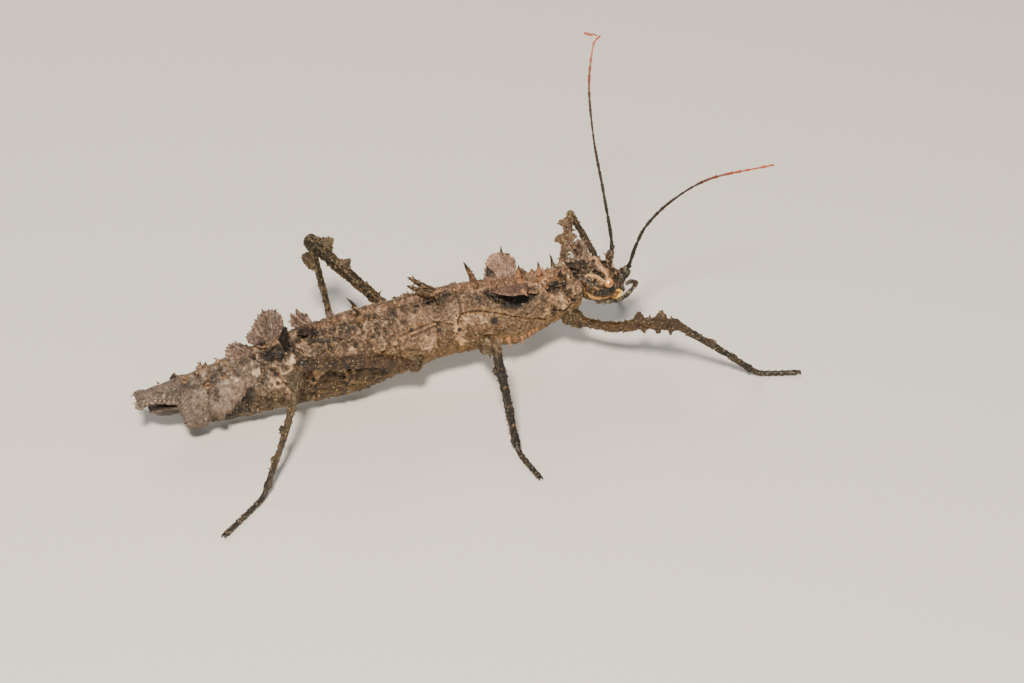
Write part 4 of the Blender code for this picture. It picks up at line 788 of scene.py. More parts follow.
def leaf(root, rise, facing, outline, draw, foot=(-0.4, 0.4), depth=0.9, tooth=0.10, pitch=0.22, ribs=0.02,
         thick=0.34, rim=0.10, arch=0.0, curl=0.0, tint=(0.0, 0.0, 0.0, 0.0), edge=0.0, rows=18, mirror=1,
         step=0.05, hug=0.0):
    """Plate whose outline is given across and along its rise, from a sunk foot to a toothed margin."""
    rise = unit(rise)
    facing = unit(facing - rise * np.dot(rise, facing))
    spread = np.cross(rise, facing) * mirror
    margin = curve_through(outline, step)
    run = np.concatenate([[0], np.cumsum(np.linalg.norm(np.diff(margin, axis=0), axis=1))])
    ahead = unit(np.gradient(margin, axis=0))
    outward = np.stack([-ahead[:, 1], ahead[:, 0]], axis=1)
    outward *= np.sign((outward * (margin - margin.mean(axis=0))).sum())
    count = int(run[-1] / pitch) + 2
    starts = np.cumsum([draw.uniform(0.6, 1.5) for _ in range(count)]) * pitch
    sizes = np.array([draw.uniform(0.3, 1.6) for _ in range(count)])
    which = np.minimum(np.searchsorted(starts, run), count - 1)
    before = np.concatenate([[0], starts])[which]
    phase = np.clip((run - before) / (starts[which] - before), 0, 1)
    saw = np.where(phase < 0.6, phase / 0.6, (1 - phase) / 0.4) ** 0.8
    taper = np.clip(np.minimum(run, run[-1] - run) / 0.4, 0, 1)
    margin = margin + outward * (tooth * (sizes[which] * saw - 0.3) * taper)[:, None]
    share = np.linspace(0, 1, len(margin))
    start = np.stack([foot[0] + (foot[1] - foot[0]) * share, np.full(len(share), -depth)], axis=1)
    q = np.linspace(0, 1, rows)[:, None, None]
    flat_place = start[None] + (margin - start)[None] * q
    wide, climb = flat_place[..., 0], flat_place[..., 1]
    q = q[..., 0]
    at = np.concatenate([flat_place, np.zeros((*wide.shape, 1))], axis=2).reshape(-1, 3)
    shift = draw.uniform(0, 50)
    crumple = wrinkle(at, 0.9, shift).reshape(wide.shape)
    rough = wrinkle(at, 0.30, shift + 9).reshape(wide.shape)
    tiny = wrinkle(at, 0.16, shift + 5).reshape(wide.shape)
    net = veins(at, 0.45, shift).reshape(wide.shape)
    fibre = np.stack([np.broadcast_to(run, wide.shape), 0.3 * q * np.ones_like(wide), 0 * wide], axis=2)
    rays = np.clip(2.4 * wrinkle(fibre.reshape(-1, 3), 0.62 * pitch, shift + 20).reshape(wide.shape), -1, 1)
    rays = rays * np.clip(q * 1.6, 0, 1)
    girth = (thick * (1 - q) + rim * q) / 2
    girth = girth + (ribs * (0.5 + 0.5 * rays) + 0.035 * rough + 0.04 * net) * (1 - q**8)
    girth = np.maximum(girth * np.clip(1.2 - q**12, 0.5, 1), 0.03)
    height = max(margin[:, 1].max(), 0.1)
    bend = curl * np.clip(climb / height, 0, 2) ** 2 - arch * wide**2 + 0.10 * crumple * q
    centre = root + wide[..., None] * spread + climb[..., None] * rise + bend[..., None] * facing
    if hug:
        centre = pushed_out(centre, hug * np.clip(q / 0.4, 0, 1) - 0.25, np.clip(1.6 - 3.2 * q, 0, 1))
    front = centre + girth[..., None] * facing
    back = centre - girth[..., None] * facing
    grid = np.concatenate([front, back[:, ::-1]], axis=1)
    tone = np.zeros((*wide.shape, 4)) + np.array(tint)
    # Ribs, crumples and veins are painted lighter and the thin dips darker: painted light and shade of the
    # relief
    fleck = (0.22 if hug else 0.24) * (rough + tiny)
    tone[..., 0] += 9.0 * ribs * rays + fleck + 0.20 * crumple + 0.12 * net - 0.03
    tone[..., 3] += np.clip(-0.30 - 0.9 * rough, 0, 0.7)
    tone[..., 2] += edge * np.clip((q - 0.88) / 0.08, 0, 1)
    tone[..., 0] += (-0.30 if hug else 0.12) * q**6
    if hug:
        tone[..., 3] += 0.6 * bell(q, 0.97, 0.05) + 0.8 * np.clip((tiny - 0.35) / 0.2, 0, 1)
    return closed_body(grid, np.concatenate([tone, tone[:, ::-1]], axis=1), True)


def peak(half, tall):
    """Outline of a broad-based lobe that climbs slowly to a blunt double point and drops steeply."""
    return [(-1.35 * half, -0.15), (-0.80 * half, 0.22 * tall), (-0.32 * half, 0.80 * tall),
            (-0.10 * half, 0.97 * tall), (0.18 * half, 1.02 * tall), (0.36 * half, 0.62 * tall),
            (0.70 * half, 0.25 * tall), (1.10 * half, -0.15)]


def crest(half, tall, lean=0.0):
    """Outline of a low, broad-based lobe."""
    return [(-half, -0.1), (-0.75 * half, 0.45 * tall), (-0.25 * half + lean, 0.92 * tall),
            (0.2 * half + lean, tall), (0.6 * half + lean, 0.75 * tall), (0.8 * half, 0.35 * tall),
            (half, -0.1)]


draw = random.Random(BRISTLE_SEED + 1)
leaf_chitin = chitin("leafy_plate_chitin", "#16110f", "#45362e", "#705a4d", "#aa8e7a", 0.14, 0.6, (0.35, 0.8),
                     dust=0.25)
bodies = []
# Pair of broad flaps on the middle of the breast, each with a black spine on its edge
BREAST_FLAPS = {
    "left": [(-1.75, 0.0), (-1.80, 0.76), (-1.20, 2.20), (-0.70, 2.88), (-0.05, 3.15), (0.59, 3.20),
             (1.20, 2.62), (1.75, 2.10), (1.68, 1.42), (1.40, 0.71), (1.20, 0.0)],
    "right": [(2.20, -0.8), (1.80, -0.2), (1.35, 0.6), (1.15, 1.5), (0.45, 2.62), (-0.30, 2.92),
              (-1.10, 2.75), (-1.70, 1.60), (-2.20, 0.2), (-2.50, -0.8)],
}
for label, side in SIDES.items():
    root = trunk_wall(11.4 if side > 0 else 10.9, side * 19.0)
    rise = np.array([0.0, side * math.cos(math.radians(18.0)), math.sin(math.radians(18.0))])
    facing = np.array([0.0, -side * 0.3, 1.0])
    bodies.append(leaf(root, rise, facing, BREAST_FLAPS[label], draw,
                       (-1.4, 1.1) if side > 0 else (2.0, -2.2), 1.2, 0.16 if side > 0 else 0.13, 0.24,
                       edge=0.1 if side > 0 else 0.05, thick=0.4, rim=0.14, rows=24,
                       tint=(0.32, 0.1, 0.0, -0.1) if side > 0 else (0.0, 0.15, 0.0, 0.0)))
    if side > 0:
        tip = root + rise * 3.05 + np.array([0.66, 0.0, 0.0])
        bodies.append(thorn(tip, rise + np.array([0.3, 0.0, 0.0]), 1.15, 0.20, black=0.15, sides=12))
        inner = root + rise * 0.7 + np.array([-1.3, 0.0, 0.15])
        bodies.append(thorn(inner, (-0.3, 0.2, 1.0), 0.9, 0.40, black=-0.2, sides=12))
    else:
        tip = root + rise * 2.5 + np.array([1.1, 0.0, 0.0])
        bodies.append(thorn(tip, (0.3, -0.8, -0.2), 0.60, 0.22, orange=0.9, black=0.9, sides=12))
    small_root = trunk_wall(13.4, side * 32.0)
    bodies.append(leaf(small_root, np.array([0.1, side, 0.25]), np.array([0.0, -side * 0.3, 1.0]),
                       [(0.75, -0.5), (0.63, 0.15), (0.33, 0.70), (-0.15, 0.92), (-0.60, 0.40),
                        (-0.90, -0.5)],
                       draw, (0.7, -0.8), 1.0, 0.10, edge=0.3, rows=10, mirror=-side))
    root = trunk_wall(-6.4, side * 34.0)
    bodies.append(leaf(root, np.array([-0.55, side * 0.6, 0.6]), np.array([0.3, -side * 0.4, 0.8]),
                       crest(0.45, 0.75), draw, tooth=0.14, rows=10))
# Fans of the back: a small pair, the tall left one, its narrow partner, and the cap that leans rearwards
small_root = trunk_wall(-9.2, 0.0) + np.array([0.0, 0.0, 0.25])
tall_root = trunk_wall(-13.0, 8.0) + np.array([0.0, 0.0, 0.2])
narrow_root = trunk_wall(-12.1, -15.0) + np.array([0.0, 0.0, 0.1])
TALL_FAN = [(-0.35, -1.1), (-0.60, -0.45), (-0.86, -0.18), (-1.35, -0.16), (-1.83, -0.08), (-2.15, 0.35),
            (-2.32, 0.77), (-2.02, 1.11), (-1.64, 1.57), (-1.38, 1.95), (-1.08, 2.29), (-0.53, 2.90),
            (-0.06, 3.01), (0.62, 2.89), (1.09, 2.39), (1.46, 1.43), (1.27, 0.77), (1.04, 0.30),
            (0.69, -0.34), (0.50, -1.1)]
SMALL_FAN = [(-0.35, -0.3), (-0.44, 0.29), (-0.42, 1.10), (-0.58, 1.90), (-0.15, 2.10), (0.12, 1.95),
             (0.55, 1.72), (0.60, 1.20), (0.44, 0.42), (0.30, -0.3)]
CAP = [(-0.45, -0.9), (-0.80, 0.0), (-1.10, 0.7), (-1.20, 1.5), (-0.85, 2.0), (-0.30, 2.15), (0.30, 1.95),
       (0.70, 1.45), (0.85, 0.8), (0.75, 0.1), (0.45, -0.9)]
bodies += [
    leaf(small_root + np.array([0.0, 0.25, 0.0]), np.array([-0.72, 0.20, 0.66]), np.array([-0.2, -0.8, 0.5]),
         SMALL_FAN, draw, tooth=0.42, pitch=0.30, ribs=0.03, rim=0.16, tint=(0.1, 0.0, 0.0, 0.0), step=0.03),
    # The near lobe of the small pair is tinted dark as painted shade
    leaf(small_root + np.array([0.0, -0.30, -0.05]), np.array([-0.85, -0.42, 0.30]),
         np.array([-0.1, -0.3, 0.95]), crest(0.55, 1.45), draw, tooth=0.35, pitch=0.26, ribs=0.035,
         tint=(-0.3, 0.0, 0.0, 0.5)),
    leaf(tall_root, np.array([0.02, 0.52, 0.85]), np.array([-0.15, -0.82, 0.56]), TALL_FAN, draw,
         (-0.35, 0.5), 1.3, 0.23, 0.27, 0.018, thick=0.40, curl=0.15, rim=0.16, rows=48, step=0.03),
    # The narrow partner of the tall fan is tinted dark as painted shade
    leaf(narrow_root, np.array([0.12, -0.22, 1.0]), np.array([0.97, 0.25, 0.0]), crest(0.75, 2.35), draw,
         tooth=0.26, tint=(-0.4, 0.0, 0.0, 0.6), rows=24),
    # The low lobe under the tall fan is tinted dark as painted shade
    leaf(tall_root + np.array([-0.9, -0.3, -0.9]), np.array([-0.55, 0.1, 0.55]), np.array([-0.2, -0.9, 0.3]),
         [(-0.2, -0.6), (-0.5, 0.3), (-0.35, 0.9), (0.3, 1.0), (0.6, 0.6), (0.5, -0.6)], draw, tooth=0.25,
         tint=(-0.4, 0.0, 0.0, 0.6)),
    leaf(trunk_wall(-15.6, 0.0) + np.array([0.0, 0.0, -0.05]), np.array([-0.85, 0.25, 0.42]),
         np.array([-0.05, -0.75, 0.66]), CAP, draw, tooth=0.27, pitch=0.27, ribs=0.02, arch=0.15, thick=0.4,
         rim=0.16, rows=30, step=0.03),
]
# Rounded flaps that hang at the sides of the last rings
REAR_FLAP = [(1.75, -1.3), (1.84, -0.53), (2.02, 0.17), (2.05, 0.60), (1.73, 1.27), (1.46, 2.12),
             (1.06, 2.70), (0.08, 2.70), (-0.68, 2.29), (-1.20, 1.91), (-1.60, 1.3), (-1.75, 0.3),
             (-1.70, -1.3)]
FRONT_FLAP = [(1.70, -1.2), (1.85, 1.2), (1.65, 2.10), (1.10, 2.35), (0.71, 2.55), (0.45, 2.15),
              (-0.26, 1.82), (-0.85, 1.21), (-1.50, 0.50), (-1.75, -0.3), (-1.60, -1.2)]
rear_flaps = []
for side in SIDES.values():
    for place, angle, outline, gap, rust in ((-21.15, 70.0, REAR_FLAP, 0.62, 0.06),
                                             (-18.4, 65.0, FRONT_FLAP, 0.45, 0.15)):
        rear_flaps.append(leaf(trunk_wall(place, side * angle), np.array([-0.08, side * 0.42, -0.90]),
                               np.array([0.0, side * 0.9, 0.42]), outline, draw, (1.6, -1.6), 1.6, 0.24, 0.30,
                               0.006, 0.30, 0.12, edge=0.15, tint=(rust, rust, 0.0, 0.0), rows=44,
                               mirror=-side, hug=gap))
make_piece("body_leaves", bodies, leaf_chitin)
make_piece("rear_flaps", rear_flaps, body_chitin)

# Branched horns of the breast
# Behind the flaps stand a tall barbed spine and a pair of forked horns that lean over the back.
# They are stout shafts of the same chitin, knobby below, with black sharp ends.


def shaft(path, radii, sides=14, knobs=0.10, black=0.75, tint=(0.0, 0.0, 0.0, 0.0), size=0.35, ribs=0.0):
    """Knobby shaft along a curve, its end drawn to a black point."""
    path = curve_through(path, 0.07)
    share = np.linspace(0, 1, len(path))
    rows = [(index / (len(radii) - 1), radius) for index, radius in enumerate(radii)]
    girth = through(rows, share)[:, 0]
    ridges = np.cos(5 * 2 * math.pi * np.arange(sides) / sides)[None]
    grid = rod_grid(path, girth, sides, 1 + ribs * ridges)
    bumps = wrinkle(grid.reshape(-1, 3), size, 3.0).reshape(grid.shape[:2])
    grid = path[:, None] + (grid - path[:, None]) * (1 + 2 * knobs * bumps[..., None])
    tone = np.zeros((*grid.shape[:2], 4)) + np.array(tint)
    # Bumps and ribs are painted lighter and dips darker: painted light and shade of the relief
    tone[..., 0] += 0.6 * bumps + 2.5 * ribs * ridges
    tone[..., 3] += (np.clip((share - black) / 0.2, 0, 1) * 0.9)[:, None]
    return closed_body(grid, tone)


# A crooked brown stalk joins the roots of the tall fan and the cap
stalk = [trunk_wall(-13.3, -4.0) + UP * 0.05, trunk_wall(-14.2, -2.0) + UP * 0.28,
         trunk_wall(-15.0, 3.0) + UP * 0.30, trunk_wall(-15.9, 0.0) + UP * 0.1]
bodies = [shaft(stalk, [0.26, 0.19, 0.16, 0.16], 18, 0.25, 2.0, (-0.15, 0.10, 0.0, 0.2), size=0.28)]
root = trunk_wall(7.95, 0.0) + np.array([0.0, 0.0, 0.1])
upward = unit([-0.3, 0.0, 0.95])
bodies.append(shaft([root - upward * 0.6, root + upward * 0.6, root + upward * 1.4,
                     root + upward * 2.3 + np.array([-0.1, 0, 0]),
                     root + upward * 3.1 + np.array([-0.2, 0, 0])], [0.55, 0.36, 0.27, 0.19, 0.03], 18, 0.22,
                     0.62, (0.0, 0.15, 0.0, 0.15), size=0.28))
for side in SIDES.values():
    barb = root + np.array([-0.25, 0.0, 0.65])
    bodies.append(thorn(barb, (-0.2, side * 0.9, 0.7), 0.7, 0.17, sink=0.25, black=0.35))
for climb, outward, length in ((0.9, (-0.9, -0.2, 0.5), 0.45), (1.1, (0.8, 0.1, 0.6), 0.45),
                               (1.6, (0.7, -0.3, 0.6), 0.40), (1.5, (-0.8, 0.3, 0.4), 0.35),
                               (2.2, (-0.8, 0.2, 0.5), 0.3)):
    bodies.append(thorn(root + upward * climb, outward, length, 0.14, sink=0.15, black=0.35))
for side in SIDES.values():
    place = 3.7 if side > 0 else 3.3
    length = 3.2 if side > 0 else 3.4
    root = trunk_wall(place, side * 5.0) + np.array([0.0, 0.0, 0.05])
    lean = unit([-0.76, side * 0.16, 0.63])
    tint = (-0.05, 0.0, 0.0, 0.28)
    bodies.append(shaft([root - lean * 0.6, root + lean * (length * 0.3), root + lean * (length * 0.6),
                         root + lean * (length * 0.85), root + lean * length + np.array([-0.1, 0, 0.02])],
                        [0.46, 0.33, 0.26, 0.17, 0.03], 25, 0.20, 0.66, tint, size=0.3, ribs=0.05))
    for share, outward, size in (
        (0.74, (-0.2, side * 0.25, 0.95), 0.75), (0.52, (0.0, side * 0.3, 1.0), 0.55),
        (0.33, (0.2, side * 0.3, 0.9), 0.45), (0.62, (-0.9, -0.3, -0.15), 0.60),
        (0.84, (-0.5, -0.1, 0.8), 0.35), (0.20, (0.3, side * 0.5, 0.8), 0.40),
        (0.42, (-0.5, -0.5, -0.1), 0.35), (0.90, (-0.8, 0.1, -0.5), 0.3),
    ):
        bodies.append(thorn(root + lean * (length * share), outward, size, 0.08 + 0.10 * size, sink=0.25,
                            black=0.3))
# The thorn of the back on the second ring has a side tooth
for side in SIDES.values():
    root = trunk_wall(-4.2, side * 9.0) + np.array([-0.3, 0.0, 0.6])
    bodies.append(thorn(root, (-0.9, side * 0.1, 0.3), 0.40, 0.13, black=0.5))
make_piece("breast_horns", bodies, thorn_chitin)

# Tail
# The last three rings end in a roof over a boat-shaped plate, with a gap between them seen from the side.
# The roof's rim is rolled and toothed, and two points stand at its end.
# Place, half width, height of the edge, crown and underside
TAIL = [
    (-22.4, 1.95, 4.45, 5.95, 4.30), (-23.0, 1.80, 4.55, 5.85, 4.40), (-24.1, 1.45, 4.75, 5.65, 4.50),
    (-25.2, 1.15, 4.90, 5.40, 4.65), (-26.0, 1.15, 4.70, 5.30, 4.50), (-26.8, 0.90, 4.75, 5.15, 4.55),
    (-27.0, 0.55, 4.80, 5.05, 4.65),
]
OPERCULUM = [
    (-22.2, 1.95, 4.10, 4.20, 2.50), (-23.0, 1.80, 4.05, 4.13, 2.60), (-24.2, 1.35, 3.80, 3.88, 2.50),
    (-25.1, 0.85, 3.55, 3.63, 2.65), (-25.75, 0.25, 3.25, 3.33, 2.95),
]


def plate_grid(rows, count=110, sides=72):
    """Rings of a roof or boat: an upper arc and a lower arc that meet at its edges."""
    at = np.linspace(min(row[0] for row in rows), max(row[0] for row in rows), count)
    half, edge, crown, under = [size[:, None] for size in through(rows, at).T]
    turn = 2 * math.pi * np.arange(sides)[None] / sides
    rise = np.where(np.sin(turn) > 0, crown - edge, edge - under) * np.sin(turn)
    wide = half * np.cos(turn)
    return np.stack([np.broadcast_to(at[:, None], wide.shape), wide, edge + rise], axis=2)


def roughen(grid, coarse=0.05, fine=0.03, shift=0.0, keel=0.0):
    """Wrinkled copy of a wall and the tone of its relief."""
    points = grid.reshape(-1, 3)
    normals = wall_normals(grid).reshape(-1, 3)
    low = wrinkle(points, 0.8, shift)
    high = wrinkle(points, 0.25, shift + 7.0)
    tiny = wrinkle(points, 0.15, shift + 13.0)
    height = coarse * low + fine * high + 0.4 * fine * tiny
    tone = np.zeros((len(points), 4))
    tone[:, 0] = 0.30 * low + 0.45 * high + 0.35 * tiny
    if keel:
        ridge = bell(points[:, 1], 0.0, 0.22) * (normals[:, 2] > 0)
        height += keel * ridge * (1 + 0.4 * high)
        tone[:, 1] += 0.35 * ridge
    moved = (points + normals * height[:, None]).reshape(grid.shape)
    return moved, tone.reshape(*grid.shape[:2], 4)


draw = random.Random(BRISTLE_SEED + 2)
grid, tone = roughen(plate_grid(TAIL), 0.09, 0.05, 3.0, 0.06)
tone[..., 0] = 0.6 * tone[..., 0] - 0.05
bodies = [closed_body(grid, tone)]
for side in SIDES.values():
    root = np.array([-26.05 + 0.35 * (side > 0), side * 0.9, 4.75])
    bodies.append(leaf(root, np.array([-0.45 + 0.4 * (side > 0), side * 0.35, -0.82]),
                       np.array([0.2, side, 0.2]),
                       [(0.95, -0.15), (1.25, 0.05), (1.22, 0.57), (0.82, 0.84), (0.29, 0.58), (0.10, 0.2),
                        (-0.3, -0.1)], draw, (0.8, -0.2), 0.25, tooth=0.16, thick=0.3, rows=12, mirror=-side))
    bodies.append(thorn(np.array([-26.6, side * 0.55, 4.90]), (-1.0, side * 0.1, 0.02), 0.95, 0.14,
                        black=0.7))
    bodies.append(thorn(np.array([-24.4, side * 0.9, 5.35]), (-0.4, side * 0.3, 0.9), 0.45, 0.2, orange=0.5))
    for index in range(9):
        place = -23.2 - 0.42 * index
        half, edge = through(TAIL, np.array([place]))[0][:2]
        spot = np.array([place, side * half, edge])
        bodies.append(thorn(spot, (-0.3, side * 0.7, -0.6), draw.uniform(0.12, 0.3), 0.12, sink=0.15,
                            orange=0.3, sides=6, black=0.8))
    rim_line = [(place, side * half * 0.97, edge - 0.05)
                for place, half, edge in ((row[0], row[1], row[2]) for row in sorted(TAIL)[1:])]
    bodies.append(shaft(rim_line, [0.10, 0.17, 0.18, 0.18, 0.20, 0.20], 10, 0.2, 2.0,
                        (-0.05, 0.10, 0.0, 0.25)))
make_piece("tail_roof", bodies, body_chitin, ("tail",))
grid, tone = roughen(plate_grid(OPERCULUM), 0.05, 0.04, 23.0)
tone[..., 0] -= 0.2
tone[..., 1] += 0.10
tone[..., 3] += 0.50 - 0.45 * bell(grid[..., 0], -25.4, 0.35)
bodies = [closed_body(grid, tone)]
for side in SIDES.values():
    edge_line = [(place, side * half * 0.96, edge) for place, half, edge, _, _ in sorted(OPERCULUM)]
    bodies.append(shaft(edge_line, [0.10, 0.15, 0.16, 0.15, 0.14], 12, 0.3, 2.0, (-0.1, 0.15, 0.0, 0.45)))
make_piece("tail_boat", bodies, body_chitin, ("operculum",))

# Head capsule
# A short, hard box of chitin, bent down from the neck, with brow ridges that run to the eyes, a black
# furrow and a pale cheek below them, an ochre lower rim, and small thorns at its back.
HEAD_BACK = np.array([18.95, 0.0, 8.75])
HEAD_PITCH = math.radians(20.0)
HEAD_AHEAD = np.array([math.cos(HEAD_PITCH), 0.0, -math.sin(HEAD_PITCH)])
HEAD_UP = np.array([math.sin(HEAD_PITCH), 0.0, math.cos(HEAD_PITCH)])
# Place along the head's axis, half width, half height
HEAD = [(0.0, 1.45, 1.50), (0.8, 1.85, 1.90), (2.0, 1.98, 1.98), (3.0, 1.75, 1.85), (3.9, 1.30, 1.55),
        (4.5, 0.90, 1.15), (4.95, 0.45, 0.65)]
EYE_PLACE = 2.42
EYE_ANGLE = 62.5
EYE_RADIUS = 0.50
HEAD_RIDGES = [
    ([(0.9, -4), (1.3, -9), (1.46, -20.5), (1.79, -42), (2.05, -53)], 0.46, 0.36, (0.65, 0.16, 0.0, -0.8)),
    ([(1.9, -12), (2.6, -24), (3.0, -40)], 0.40, 0.12, (0.10, 0.05, 0.0, 0.15)),
    ([(0.05, -56), (0.13, -50), (0.60, -47.0), (1.37, -55), (1.85, -62)], 0.22, 0.26,
     (0.75, 0.25, 0.0, -0.6)),
    ([(0.40, -112), (0.9, -114), (1.8, -117), (2.6, -116), (3.0, -112)], 0.11, 0.16,
     (0.05, 0.40, 0.40, -0.5)),
    ([(0.85, -114), (1.4, -116), (2.0, -116.5)], 0.17, 0.12, (0.30, 0.30, 0.45, -0.6)),
    ([(0.05, -52), (0.02, -75), (0.08, -98), (0.5, -126)], 0.10, 0.16, (0.1, 0.35, 0.5, -0.3)),
    ([(3.0, -75), (3.4, -88), (3.5, -104)], 0.20, 0.12, (0.2, 0.0, 0.0, 0.0)),
    ([(0.4, -22), (0.9, -24), (1.3, -30)], 0.25, 0.10, (0.1, 0.0, 0.0, 0.0)),
]
HEAD_GROOVES = [
    ([(0.15, -38), (0.76, -34), (1.27, -39), (1.75, -51)], 0.20, -0.34, (-1.0, 0.0, 0.0, 1.7)),
    ([(0.12, -62), (0.5, -61), (0.95, -64)], 0.19, -0.22, (-0.8, 0.0, 0.0, 1.2)),
    ([(2.6, -86), (2.2, -96), (1.7, -101), (1.2, -100)], 0.30, -0.08, (-0.2, 0.0, 0.0, 0.5)),
    ([(2.9, -68), (3.1, -80), (3.1, -94)], 0.18, -0.20, (-0.6, 0.0, 0.0, 1.0)),
    ([(2.4, -8), (3.2, -14), (3.9, -20)], 0.18, -0.12, (-0.4, 0.0, 0.0, 0.7)),
    ([(0.15, -54), (0.12, -75), (0.18, -98), (0.55, -122)], 0.10, -0.14, (-0.6, 0.0, 0.0, 0.9)),
]
HEAD_SPOTS = [
    (0.25, -20.0, 0.22, 0.22, (0.9, 0.0, 0.0, -0.3)), (0.55, -12.0, 0.18, 0.18, (0.7, 0.2, 0.0, -0.3)),
    (0.30, -31.0, 0.16, 0.16, (0.9, 0.1, 0.0, -0.3)), (0.85, -20.0, 0.16, 0.14, (0.6, 0.2, 0.0, 0.0)),
    (1.20, -92.0, 0.55, 0.10, (0.1, 0.0, 0.05, 0.0)), (2.05, -92.0, 0.40, 0.05, (-0.1, 0.0, 0.0, 0.4)),
    (1.35, -84.0, 0.12, 0.08, (1.0, 0.0, 0.5, 0.0)), (1.75, -80.0, 0.10, 0.06, (0.9, 0.0, 0.4, 0.0)),
    (0.95, -96.0, 0.12, 0.08, (1.0, 0.0, 0.6, 0.0)), (3.6, -66.0, 0.30, 0.15, (0.2, 0.1, 0.0, 0.3)),
    (2.5, 0.0, 0.90, -0.05, (-0.25, 0.0, 0.0, 0.45)), (3.1, -50.0, 0.50, 0.05, (-0.3, 0.0, 0.0, 0.5)),
    (2.3, -82.0, 0.45, 0.0, (-0.2, 0.0, 0.0, 0.5)),
]


def head_wall(place, angle):
    """Points of the smooth head; the angle is counted from its crown towards the left."""
    place, angle = np.broadcast_arrays(np.array(place, float), np.array(angle, float))
    sizes = through(HEAD, place)
    turn = np.radians(angle)
    lean = np.clip(place / 1.4, 0, 1)[..., None]
    upward = unit(UP * (1 - lean) + HEAD_UP * lean)
    brow = 1 + 0.06 * bell(abs(angle), 34.0, 13.0) - 0.04 * bell(abs(angle), 0.0, 14.0)
    cheek = 1 + 0.05 * bell(abs(angle), 92.0, 22.0) * bell(place, 1.9, 1.4)
    wide = sizes[..., 0] * np.sin(turn) * brow * cheek
    tall = sizes[..., 1] * np.cos(turn) * brow
    return HEAD_BACK + HEAD_AHEAD * place[..., None] + wide[..., None] * np.array([0.0, 1.0, 0.0]) \
        + upward * tall[..., None]


def eye_centre(side):
    return head_wall(EYE_PLACE, side * EYE_ANGLE) + np.array([0.0, side * 0.05, 0.0])


places = np.concatenate([np.linspace(0, 4.5, 100), np.linspace(4.55, 4.95, 14)])[:, None]
head_angles = (np.arange(250) * 360.0 / 250 + 180.0) % 360.0 - 180.0
grid = head_wall(places, head_angles[None])
points = grid.reshape(-1, 3)
normals = wall_normals(grid).reshape(-1, 3)
low = wrinkle(points, 0.8, 3.0)
high = wrinkle(points, 0.26, 8.0)
tiny = wrinkle(points, 0.13, 12.0)
net = veins(points, 0.42, 5.0)
marks, tints = carve(points, head_wall, [], HEAD_RIDGES + HEAD_GROOVES, HEAD_SPOTS)
smoothness = np.clip(tints[:, 0], 0, 0.7)
height = (0.05 * low + 0.05 * high + 0.03 * tiny + 0.05 * net) * (1 - smoothness) + marks
every_angle = np.tile(abs(head_angles), len(places))
every_place = np.repeat(places.ravel(), 250)
cheek = bell(every_angle, 92.0, 26.0) * np.clip(every_place / 0.6, 0, 1)
tone = tints + np.stack([0.15 * low + 0.40 * high + 0.40 * tiny + 0.25 * net - 0.15 - 0.15 * cheek,
                         np.zeros_like(low), 0.10 * cheek * (tiny > 0.15),
                         0.28 - 0.3 * net + 0.2 * low + 0.50 * cheek], axis=1)
tone[:, 3] += 0.35 * bell(every_place, 0.1, 0.35) * (every_angle < 60)
# The socket and lid round each eye are painted darker, as painted shade where the eye meets the head
for side in SIDES.values():
    socket = nearness(points, eye_centre(side), EYE_RADIUS * 1.02)
    lid = nearness(points, eye_centre(side), EYE_RADIUS * 1.45) - socket
    height += 0.16 * lid - 0.30 * socket
    tone[:, 0] += 0.10 * lid
    tone[:, 3] += 0.9 * socket + 0.35 * lid
tone[:, 1:] = np.clip(tone[:, 1:], 0, 1)
crown_thin = np.clip(np.repeat(places.ravel(), 250) / 0.3, 0.2, 1)
grid = (points + normals * (height * crown_thin)[:, None]).reshape(grid.shape)
for ring, share in ((0, 0.55), (1, 0.82), (2, 0.93), (-1, 0.5), (-2, 0.8)):
    middle_line = grid[ring].mean(axis=0)
    grid[ring] = middle_line + (grid[ring] - middle_line) * share
head_grid = grid
head_places = places.ravel()


def head_point(place, angle):
    ring = int(np.argmin(abs(head_places - place)))
    side = int(np.argmin(abs((head_angles - angle + 180.0) % 360.0 - 180.0)))
    return head_grid[ring, side]


head_chitin = chitin("head_capsule_chitin", "#17120c", "#4c3926", "#94704f", "#d6ac82", 0.12, 0.5,
                     (0.25, 0.6), 0.5)
bodies = [closed_body(grid, tone.reshape(*grid.shape[:2], 4))]
draw = random.Random(BRISTLE_SEED + 3)
for side in SIDES.values():
    for place, angle, length in ((0.8, 62.0, 0.25), (2.1, 30.0, 0.35), (1.4, 120.0, 0.3), (3.6, 22.0, 0.4),
                                 (0.3, 12.0, 0.5), (0.6, 4.0, 0.4), (0.2, 40.0, 0.45), (1.0, 14.0, 0.3),
                                 (0.15, 60.0, 0.3), (2.8, 12.0, 0.3), (3.2, 34.0, 0.3)):
        root = head_point(place, side * angle)
        outward = unit(root - HEAD_BACK - HEAD_AHEAD * place)
        bodies.append(thorn(root, outward, length, 0.15, orange=0.15, black=0.75, sink=0.2))
head_skin = make_piece("head_capsule", bodies, head_chitin, ("head",))
head_grains = grain_chitin("grains_of_the_head", "#231c16", "#63503e", "#b0946a", "#ead9ae")
strew("head_grains", head_skin, grain_tree("head_grain_tree", head_grains), 9.0, 0.05, 5)

# Neck
# The soft ringed skin between head and breast is a narrow collar, painted dark as shade in the gap between
# them.
neck_path = curve_through([(18.2, 0.0, 8.0), (18.8, 0.0, 8.35), (19.4, 0.0, 8.6)], 0.05)
neck_radii = 1.45 + 0.10 * np.cos(np.linspace(0, 7 * math.pi, len(neck_path)))
grid, tone = roughen(rod_grid(neck_path, neck_radii, 60), 0.04, 0.03, 31.0)
tone[..., 3] += 0.55
make_piece("neck_collar", [closed_body(grid, tone)], head_chitin)

